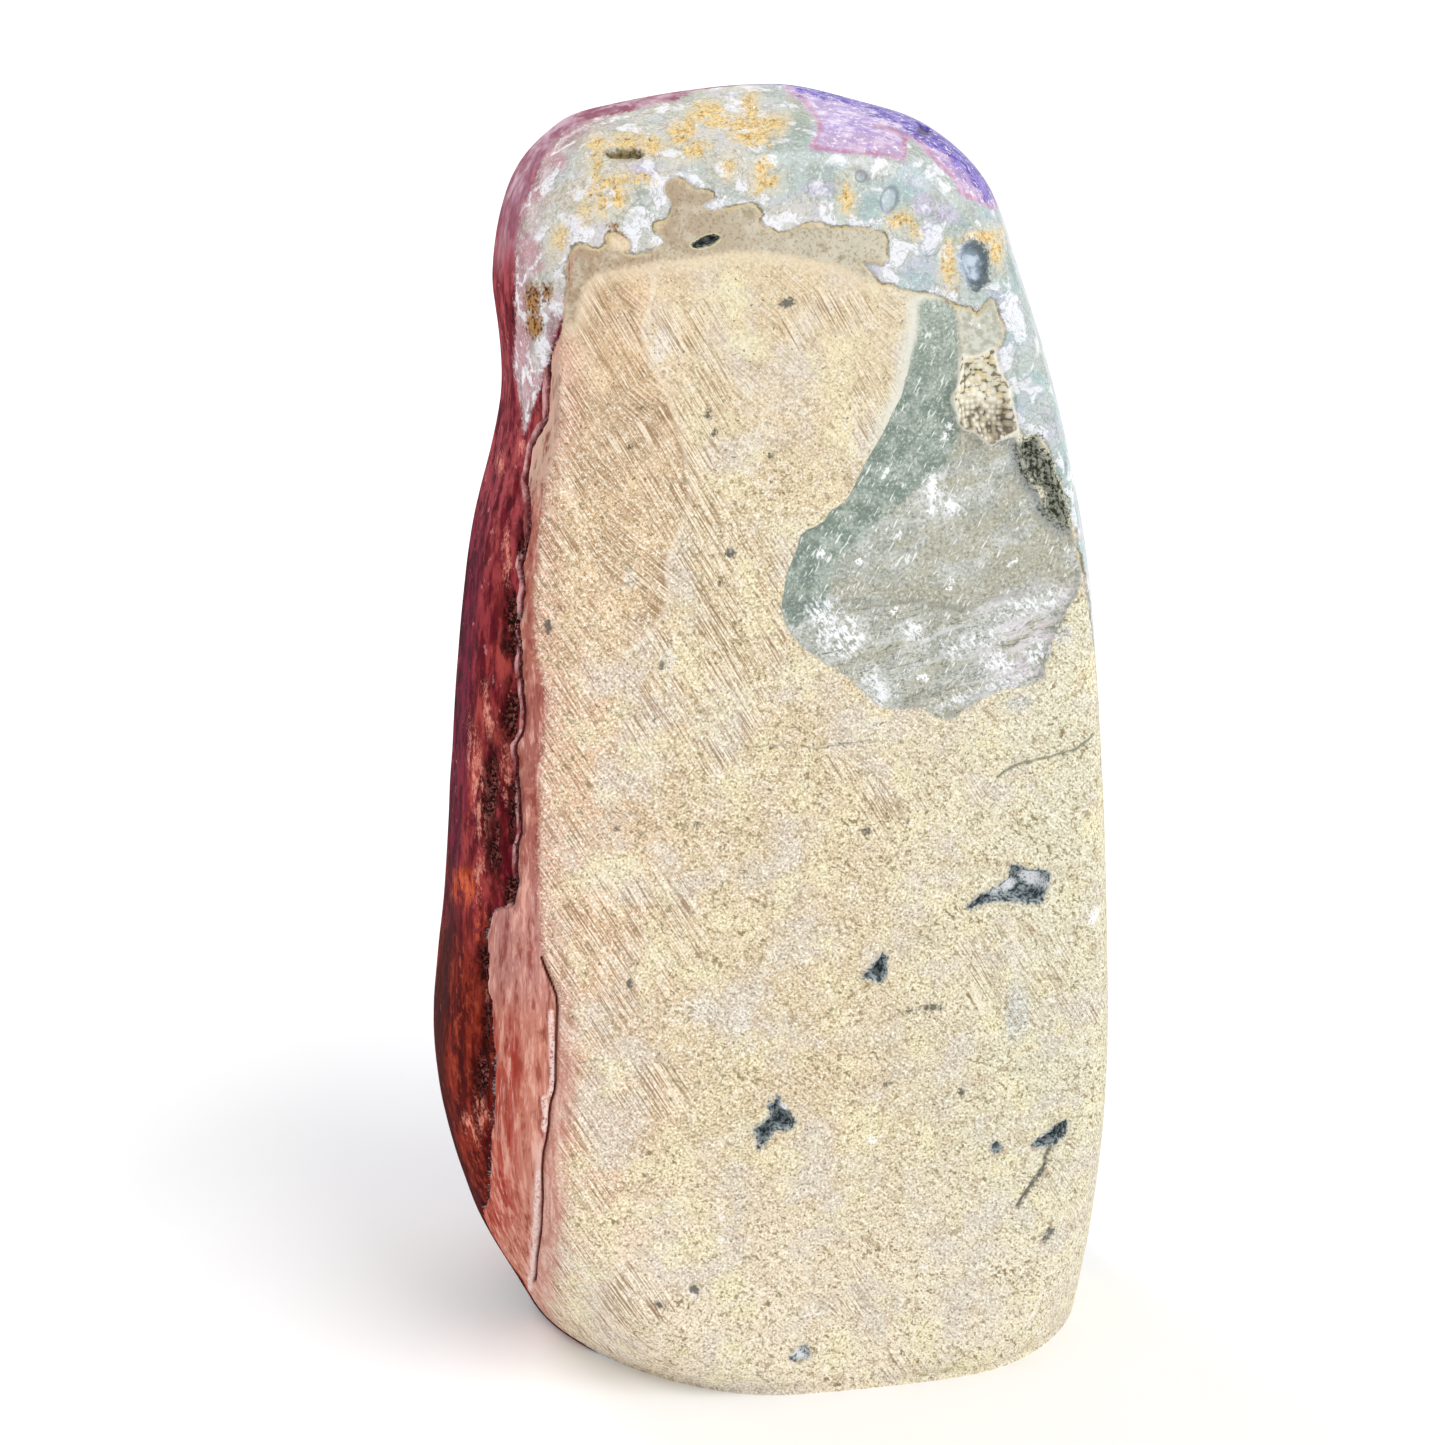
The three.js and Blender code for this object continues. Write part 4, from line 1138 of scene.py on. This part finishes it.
def left_share(n):
    """1 on the left side, and along the upper left rim, where the amethyst is maroon."""
    x, y, z = n.place_parts()
    wander = n.noise(14, 71, 0.65, 4) - 0.5
    slanted = x + wander * 16.0 - n.larger(z - 226.0, 0.0) * 0.9
    return n.ramp(y + wander * 44.0, 42, 26) * n.ramp(slanted, -30, -42)


def left_colour(n):
    """Maroon, brown and magenta patches that run down the side, with rust near the base, and painted
    highlights and glints.
    """
    y, z = n.place_parts()[1:]
    strand, wide = n.noise((2, 5, 8), 50, 0.68, 4), n.noise((5, 12, 16), 51)
    blots = n.noise((2, 4, 3), 68)
    magenta = n.ramp(n.noise((4, 10, 12), 52), 0.5, 0.62) * n.ramp(y, -26, -10)
    low = n.ramp(z + (n.noise(16, 99, 0.65, 4) - 0.5) * n.ramp(y, -12, 8) * 90.0, 108, 88)
    rust = n.layers(
        n.tones(n.noise((1.8, 4, 24), 64, 0.6), 0.42, 0.58, (78, 16, 10), (130, 42, 26)),
        (n.ramp(blots, 0.53, 0.66, 0, 0.7), (164, 70, 48)),
        (n.ramp(blots, 0.47, 0.36, 0, 0.7), (62, 10, 8)),
        (n.ramp(y, -16, -4) * n.ramp(y, 20, 6) * 0.85, (50, 8, 6)),
    )
    beside_pits = n.attribute("pit") + n.noise((2, 3, 6), 69, 0.7) * 4.0
    painted_shine = n.ramp(n.noise((1.4, 4, 4), 59, 0.72), 0.42, 0.56)
    painted_glint = n.ramp(n.noise((1.3, 4, 2.6), 56, 0.62), 0.63, 0.7) * n.ramp(z, 100, 130, 0.15, 0.55)
    return n.layers(
        n.tones(strand, 0.4, 0.6, (88, 14, 26), (144, 50, 56)),
        (n.ramp(wide, 0.42, 0.56) * n.ramp(y, 8, -10) * n.ramp(z, 96, 120) * 0.75,
         n.tones(strand, 0.4, 0.6, (118, 34, 34), (168, 72, 64))),
        (magenta * 0.7, (124, 24, 56)),
        (n.ramp(y, -18, -2) * n.ramp(z, 215, 185) * n.ramp(z, 80, 110) * 0.85,
         n.tones(strand, 0.42, 0.58, (58, 6, 28), (106, 20, 48))),
        (n.ramp(z, 160, 190) * 0.7, n.tones(strand, 0.38, 0.62, (96, 16, 32), (166, 74, 80))),
        (low * 0.95, rust),
        (n.ramp(n.noise((3, 7, 7), 53, 0.7, 4), 0.53, 0.62) * 0.65, (54, 8, 14)),
        (n.ramp(beside_pits, 3.6, 1.6, 0, 0.8), (46, 8, 10)),
        (n.ramp(z, 222, 242), n.tones(wide, 0.4, 0.62, (146, 92, 108), (196, 164, 178))),
        (n.within("rust", 2.4, 1.6) * n.ramp(blots, 0.42, 0.54) * 0.9,
         n.tones(strand, 0.4, 0.6, (150, 52, 24), (206, 96, 60))),
        # painted highlights on the polished left side, broken into small shiny bits
        (n.within("painted_highlight", 1.6, 1.6) * painted_shine, (224, 144, 126)),
        # painted glints: small pinkish highlights on the polished left side
        (painted_glint, (200, 124, 122)),
        (n.ramp("ridge", 0.5, 0.15) * 0.85, n.tones(strand, 0.4, 0.6, (142, 78, 76), (222, 176, 176))),
        (n.within("pit", 0.8, 1.3), n.tones(n.ragged, 0.48, 0.6, (34, 10, 10), (142, 78, 70))),
        (n.ramp("dark_line", 0.6, 0.15), (70, 20, 20)),
    )


def flank_layer(n):
    """The band of matrix that turns over to the left: taupe at the top, then mauve, then brick red."""
    fibre = n.noise((1.6, 2.2, 14), 60, 0.7, turn=(6, 0, 0))
    hair = n.noise((0.8, 1.0, 9), 63, 0.6, turn=(6, 0, 0))
    broad = n.noise((2.2, 3, 36), 70, 0.6, turn=(4, 0, 0))
    brick = n.down(980, 1060) * n.ramp("rind", 9, 3)
    beside_crack = n.ramp("crack", 3.2, 0.4) * n.ramp(fibre, 0.42, 0.56) * n.down(1080, 1130)
    return n.layers(
        n.mix(n.down(465, 520), (198, 166, 148), (168, 104, 90)),
        (n.down(640, 720), (162, 100, 90)),
        (n.down(850, 920), (182, 126, 118)),
        (n.down(960, 1050), (192, 126, 108)),
        (brick * 0.9, (178, 82, 68)),
        (n.ramp(fibre, 0.52, 0.64, 0, 0.75), (226, 170, 154)),
        (n.ramp(fibre, 0.47, 0.36, 0, 0.75), (138, 64, 54)),
        (n.ramp(hair, 0.54, 0.68, 0, 0.35), (232, 190, 176)),
        (n.ramp(hair, 0.46, 0.32, 0, 0.45), (112, 48, 42)),
        (n.ramp(n.noise(3, 61), 0.54, 0.68, 0, 0.4), (212, 150, 128)),
        (brick * n.ramp(broad, 0.5, 0.6) * 0.75, (152, 48, 40)),
        (brick * n.ramp(broad, 0.44, 0.34) * 0.6, (214, 142, 122)),
        (beside_crack * 0.7, (222, 188, 178)),
    )


def pocket_colour(n, colour):
    """Pale rounded grains, yellowish and brown in places, with painted highlights on their tops and painted
    shade between them and over the pocket's lower part, inside a white line.
    """
    grains, tone = n.attribute("grains"), n.attribute("tone")
    lower = n.attribute("photo_down") + n.noise(3, 72, 0.6, 2) * 6.0
    lower = n.ramp(lower, 396 * PHOTO_MM + 2.4, 420 * PHOTO_MM + 3.0)
    filling = n.layers(
        n.tones(tone, 0.5, 0.95, (234, 230, 212), (226, 206, 160)),
        (n.ramp(tone, 0.14, 0.02), (176, 164, 138)),
        # painted shade over the lower part of the pocket
        (lower, n.tones(tone, 0.3, 0.75, (194, 184, 162), (132, 120, 106))),
        # painted highlights on the tops of the grains
        (n.ramp(grains, 0.75, 0.97, 0, 0.7), (252, 250, 236)),
        # painted shade in the gaps between the grains
        (n.ramp(grains, 0.6, 0.2, 0, 0.85), (118, 108, 88)),
    )
    colour = n.mix(n.within("pocket", 0.4, 0.5), colour, filling)
    return n.mix(n.rim("pocket", 0.35, 0.1) * 0.7, colour, (226, 226, 216))


def hole_colour(n, colour):
    """The dark pocket, the vugs in the matrix and the slit."""
    specks = n.noise(1.0, 73, 0.75)
    halo = n.ramp("dark_pocket", 3.2, 0.2) * n.within("grey", 0.5) * 0.55
    vug = n.tones(specks, 0.42, 0.6, (62, 74, 80), (164, 174, 176))
    vug = n.mix(n.within("white", 0.8, 1.2, 0.2) * n.ramp(n.ragged, 0.36, 0.44), vug, (248, 250, 252))
    return n.layers(
        colour,
        (halo, (146, 154, 158)),
        (n.within("dark_pocket", 1.4, 2.8, 0.3), n.tones(specks, 0.42, 0.6, (62, 66, 54), (182, 184, 170))),
        (n.ramp("vug", 1.2, 0.1) * 0.4, (184, 178, 164)),
        (n.within("vug", 0.5, 1.1, 0.12), vug),
        (n.rim("slit", 0.4, 0.1), (222, 208, 160)),
        (n.within("slit", 0.3, 0.4), n.tones(specks, 0.42, 0.6, (66, 70, 66), (150, 156, 156))),
    )


def edge_colour(n, colour):
    """The thin gold-brown line round the matrix with a painted shadow line along it, and the cracks with
    their white lips.
    """
    line = n.attribute("rind") + (n.noise(1.2, 75, 0.7) - 0.5) * 1.8
    broken = n.ramp(n.noise(4, 76, 0.6), 0.4, 0.6, 0.4, 0.95) * n.ramp("amethyst", 0.8, 2.5)
    broken = broken * n.ramp("pocket", 0.3, 1.2) * n.ramp("dark_pocket", 0.6, 2.0)
    return n.layers(
        colour,
        # painted shadow: a dark line along the matrix's edge
        (n.ramp(abs(line + 0.28), 0.4, 0.1) * broken * 0.8, (110, 92, 62)),
        (n.ramp(abs(line - 0.14), 0.34, 0.08) * broken, (214, 194, 146)),
        (n.ramp("lip", 0.85, 0.3) * n.ramp(n.ragged, 0.36, 0.5) * 0.85, (238, 216, 210)),
        (n.ramp("crack", 0.42, 0.12), (92, 40, 32)),
        (n.ramp("agate_line", 0.45, 0.15) * 0.85, (84, 34, 34)),
    )


def bed_colour(n):
    """The hollow's floor under the points: violet, each root its own tone, and milky at the rim."""
    tone = n.cells((4.5, 9, 4.5), "Color")
    return n.layers(
        (108, 70, 176),
        (n.ramp(tone, 0.45, 0.6, 0, 0.7), (206, 188, 236)),
        (n.ramp(tone, 0.45, 0.3, 0, 0.6), (44, 20, 92)),
        (n.ramp("hollow", 0.8, 0.93), n.tones(n.noise(4, 72), 0.42, 0.6, (170, 150, 208), (216, 204, 234))),
    )


def rock_material():
    n = Nodes("geode_rock")
    n.ragged = n.noise(0.7, 90, 0.7)
    soft_top = n.ramp(n.attribute("grey") + (n.ragged - 0.5) * 1.2, 0.6, -1.0)
    rind_share = n.within("rind", 0.3, 0.35)
    amethyst_share = n.within("amethyst", 0.7, 0.7)
    colour = n.layers(
        ground_markings(n, matrix_layer(n)),
        (n.within("left", 1.6, 1.4), flank_layer(n)),
        (n.between(n.down(330, 420), soft_top, n.within("grey", 0.35, 0.4)), grey_patch_layer(n)),
        (rind_share, quartz_layer(n)),
        (amethyst_share, amethyst_layer(n)),
    )
    for marked in (pocket_colour, hole_colour, edge_colour):
        colour = marked(n, colour)
    colour = n.mix(n.ramp("hollow", 0.99, 0.93), colour, bed_colour(n))
    polish = n.larger(rind_share, amethyst_share)
    rough = n.ramp(polish, 0, 1, 0.62, 0.24) + (n.noise(2.5, 81, 0.7) - 0.5) * 0.3
    return n.made({
        "Base Color": colour, "Roughness": rough, "IOR": 1.54, "Specular IOR Level": 0.0,
        "Coat Weight": (polish - left_share(n) * 0.94) * 0.6, "Coat Roughness": 0.1})


# ---- the amethyst points in the hollow ----

POINT_REACH, POINT_SHIFT, POINT_ROOT, POINT_TILT = 0.92, 0.22, 7, 11
TIP_SLOPE = 51.8
TIP_OFFSET = (0.08, 0.38)  # how much higher every second tip face stands
POLISH_MM = 3  # how far the points that reach the rim are ground down behind its face
RIM_SIZE = 0.75  # the points' size at the rim, as a share of that in the middle
# spacing, least and most radius, longest stem, highest lift off the floor, first number of their draws
POINT_SIZES = ((16, 9.6, 13.2, 3.5, 0, 0), (9.2, 4.4, 6.8, 5, 5, 1000), (6.1, 2.4, 3.8, 5, 6, 4000))


def point_corners(radius, stem, offset):
    """Corners of a quartz point along +Z: a hexagonal stem with six tip faces, every second one smaller."""
    flat = radius * math.cos(math.pi / 6)
    slope = math.radians(TIP_SLOPE)
    planes = [(0, 0, -1, POINT_ROOT)]
    for k in range(6):
        out = np.array([math.cos(k * math.pi / 3), math.sin(k * math.pi / 3), 0])
        planes.append((*out, flat))
        height = stem + flat * math.tan(slope) * (1 + (k % 2) * offset)
        planes.append((*(out * math.sin(slope) + (0, 0, math.cos(slope))), height * math.cos(slope)))
    planes = np.array(planes)
    triples = np.array([(i, j, k) for i in range(13) for j in range(i + 1, 13) for k in range(j + 1, 13)])
    faces, reaches = planes[triples][:, :, :3], planes[triples][:, :, 3]
    meet = np.abs(np.linalg.det(faces)) > 1e-4
    corners = np.linalg.solve(faces[meet], reaches[meet][:, :, None])[:, :, 0]
    return corners[(corners @ planes[:, :3].T <= planes[:, 3] + 1e-4).all(axis=1)]


def share_at(x, z):
    return float(hollow_share(np.array([x]), np.array([z]))[0])


def floor_at(x, z):
    return floor_y(share_at(x, z))


def growth_way(x, z):
    """The outward direction of the hollow's floor."""
    return Vector((floor_at(x - 0.5, z) - floor_at(x + 0.5, z), 1,
                   floor_at(x, z - 0.5) - floor_at(x, z + 0.5))).normalized()


def one_point(number, x, z, radii, longest, lift):
    """The corners of one amethyst point, in place on the hollow's floor."""
    def draw(k, low, high):
        return low + (high - low) * scatter(number, k)
    size = 1 + (RIM_SIZE - 1) * share_at(x, z) ** 3
    corners = point_corners(size * draw(3, *radii), size * draw(4, 0, longest), draw(5, *TIP_OFFSET))
    lean = 2 * math.tan(math.radians(POINT_TILT))
    way = growth_way(x, z)
    turn = draw(8, 0, 2 * math.pi)
    spun = [Vector((a * math.cos(turn) - b * math.sin(turn), a * math.sin(turn) + b * math.cos(turn), c))
            for a, b, c in corners]
    tilted = (way + Vector((draw(6, -0.5, 0.5), 0, draw(7, -0.5, 0.5))) * lean).normalized()
    upright = Vector((0, 0, 1)).rotation_difference(tilted)
    foot = Vector((x, floor_at(x, z), z)) + way * draw(9, 0, lift)
    return [(upright @ corner + foot) * MM for corner in spun]


def every_point():
    """The corners of every point, large ones first, on three staggered grids."""
    for spacing, least, most, longest, lift, number in POINT_SIZES:
        row_step = spacing * math.sqrt(0.75)
        shift = 2 * POINT_SHIFT * spacing
        rows = math.ceil(HOLLOW_HALF_HEIGHT / row_step)
        columns = math.ceil(HOLLOW_HALF_WIDTH / spacing)
        for j in range(-rows, rows + 1):
            for i in range(-columns, columns + 1):
                number += 1
                x = HOLLOW_X + (i + 0.5 * (j % 2)) * spacing + (scatter(number, 1) - 0.5) * shift
                z = HOLLOW_Z + j * row_step + (scatter(number, 2) - 0.5) * shift
                if share_at(x, z) < POINT_REACH:
                    yield one_point(number, x, z, (least, most), longest, lift)


def hull(corners):
    """A closed convex mesh round these corners, as an object."""
    shape = bmesh.new()
    for corner in corners:
        shape.verts.new(corner)
    bmesh.ops.remove_doubles(shape, verts=shape.verts, dist=0.00001)
    bmesh.ops.convex_hull(shape, input=shape.verts)
    bmesh.ops.delete(shape, geom=[vertex for vertex in shape.verts if not vertex.link_faces], context="VERTS")
    bmesh.ops.recalc_face_normals(shape, faces=shape.faces)
    mesh = bpy.data.meshes.new("amethyst_points")
    shape.to_mesh(mesh)
    shape.free()
    return bpy.data.objects.new("amethyst_points", mesh)


def lump_object():
    """The lump before its hollow is taken out, as a closed object to trim the points with."""
    grid, triangles = first_grid()
    points = shell(grid)
    points[:, 1] -= POLISH_MM * (points[:, 1] > 0)
    return mesh_object("lump", points, triangles)


def keep_largest_shell(mesh):
    """Deletes the bubbles that the join seals in, and any chip that it leaves loose."""
    shape = bmesh.new()
    shape.from_mesh(mesh)
    unmet = set(shape.verts)
    shells = []
    while unmet:
        found, edge = set(), {next(iter(unmet))}
        while edge:
            found |= edge
            edge = {other.other_vert(vertex) for vertex in edge for other in vertex.link_edges} - found
        shells.append(found)
        unmet -= found
    largest = max(shells, key=len)
    bmesh.ops.delete(shape, geom=[vertex for vertex in shape.verts if vertex not in largest], context="VERTS")
    shape.to_mesh(mesh)
    shape.free()


def build_points():
    """Every amethyst point in one joined solid, polished flush with the lump's outside."""
    first, *rest = [hull(corners) for corners in every_point()]
    bpy.context.scene.collection.objects.link(first)
    others = bpy.data.collections.new("others")
    bpy.context.scene.collection.children.link(others)
    for piece in rest:
        others.objects.link(piece)
    lump = lump_object()
    joined = first.modifiers.new("joined", "BOOLEAN")
    joined.operation, joined.solver, joined.operand_type = "UNION", "MANIFOLD", "COLLECTION"
    joined.collection = others
    trimmed = first.modifiers.new("trimmed", "BOOLEAN")
    trimmed.operation, trimmed.solver, trimmed.object = "INTERSECT", "MANIFOLD", lump
    depsgraph = bpy.context.evaluated_depsgraph_get()
    mesh = bpy.data.meshes.new_from_object(first.evaluated_get(depsgraph))
    keep_largest_shell(mesh)
    first.modifiers.clear()
    first.data = mesh
    for piece in rest + [lump]:
        bpy.data.objects.remove(piece)
    bpy.data.collections.remove(others)
    return first


def amethyst_material():
    """Clear violet quartz, coloured by what it absorbs."""
    n = Nodes("clear_amethyst")
    cloud = n.ramp(n.noise(5, 100, 0.65, 4), 0.4, 0.66)
    normal = n.add("ShaderNodeBump", {"Height": n.noise((6, 6, 0.7), 101, 0.5, 2), "Strength": 0.2,
                                      "Distance": 0.05 * MM})
    volume = n.add("ShaderNodeVolumeAbsorption", {"Color": (0.52, 0.2, 0.82, 1), "Density": 30.0})
    tint = n.mix(cloud, (150, 100, 212), (176, 136, 226))
    return n.made({"Base Color": tint, "Roughness": n.ramp(cloud, 0, 1, 0.0, 0.04), "Normal": normal,
                   "IOR": 1.544, "Transmission Weight": 0.85}, Volume=volume)


# ---- the stage ----

FLOOR_HALF_MM = 40000
WORLD_LIGHT = 0.72
# name: direction it comes from, strength, and how wide it looks in degrees
LIGHTS = {
    "key": ((0.6, -0.6, 0.9), 1.35, 40),
    "front": ((-0.5, 1, 0.6), 1.2, 24),
    "side": ((-1, 0.8, 0.3), 0.4, 20),
}


def floor_material():
    n = Nodes("floor_paper")
    tint = n.mix(n.noise(60, 99, 0.5, 2), (250, 250, 250), (254, 254, 254))
    return n.made({"Base Color": tint, "Roughness": 0.9})


def add_floor():
    corners = np.array([(-1, -1, 0), (1, -1, 0), (1, 1, 0), (-1, 1, 0)]) * FLOOR_HALF_MM
    floor = mesh_object("floor", corners, np.array([(0, 1, 2, 3)]))
    floor.data.materials.append(floor_material())


def facing(thing, way):
    """Puts a light or camera in the scene, on the side of this direction and looking back along it."""
    bpy.context.scene.collection.objects.link(thing)
    thing.rotation_euler = Vector(way).to_track_quat("Z", "Y").to_euler()


def light_scene():
    """An even pale studio, with a large soft light on the ground back and two smaller on the points."""
    world = bpy.data.worlds.new("studio")
    world.use_nodes = True
    background = world.node_tree.nodes["Background"]
    background.inputs["Color"].default_value = (1, 1, 1, 1)
    background.inputs["Strength"].default_value = WORLD_LIGHT
    bpy.context.scene.world = world
    for name, (way, strength, spread) in LIGHTS.items():
        light = bpy.data.lights.new(name, "SUN")
        light.energy = strength
        light.angle = math.radians(spread)
        facing(bpy.data.objects.new(name, light), way)
    bpy.context.scene.view_settings.view_transform = "Standard"


def add_camera():
    camera = bpy.data.cameras.new("camera")
    camera.sensor_width = 36
    camera.lens = camera.sensor_width / 2 / math.tan(math.radians(CAMERA_VIEW_ANGLE) / 2)
    viewer = bpy.data.objects.new("camera", camera)
    place, _, _, back = camera_axes()
    facing(viewer, back)
    viewer.location = place * MM
    bpy.context.scene.camera = viewer


def put_in_frame(piece):
    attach(piece, "root")
    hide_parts("amethyst_geode")


rock = build_rock()
rock.data.materials.append(rock_material())
put_in_frame(rock)
points = build_points()
points.data.materials.clear()
points.data.materials.append(amethyst_material())
put_in_frame(points)
add_floor()
light_scene()
add_camera()
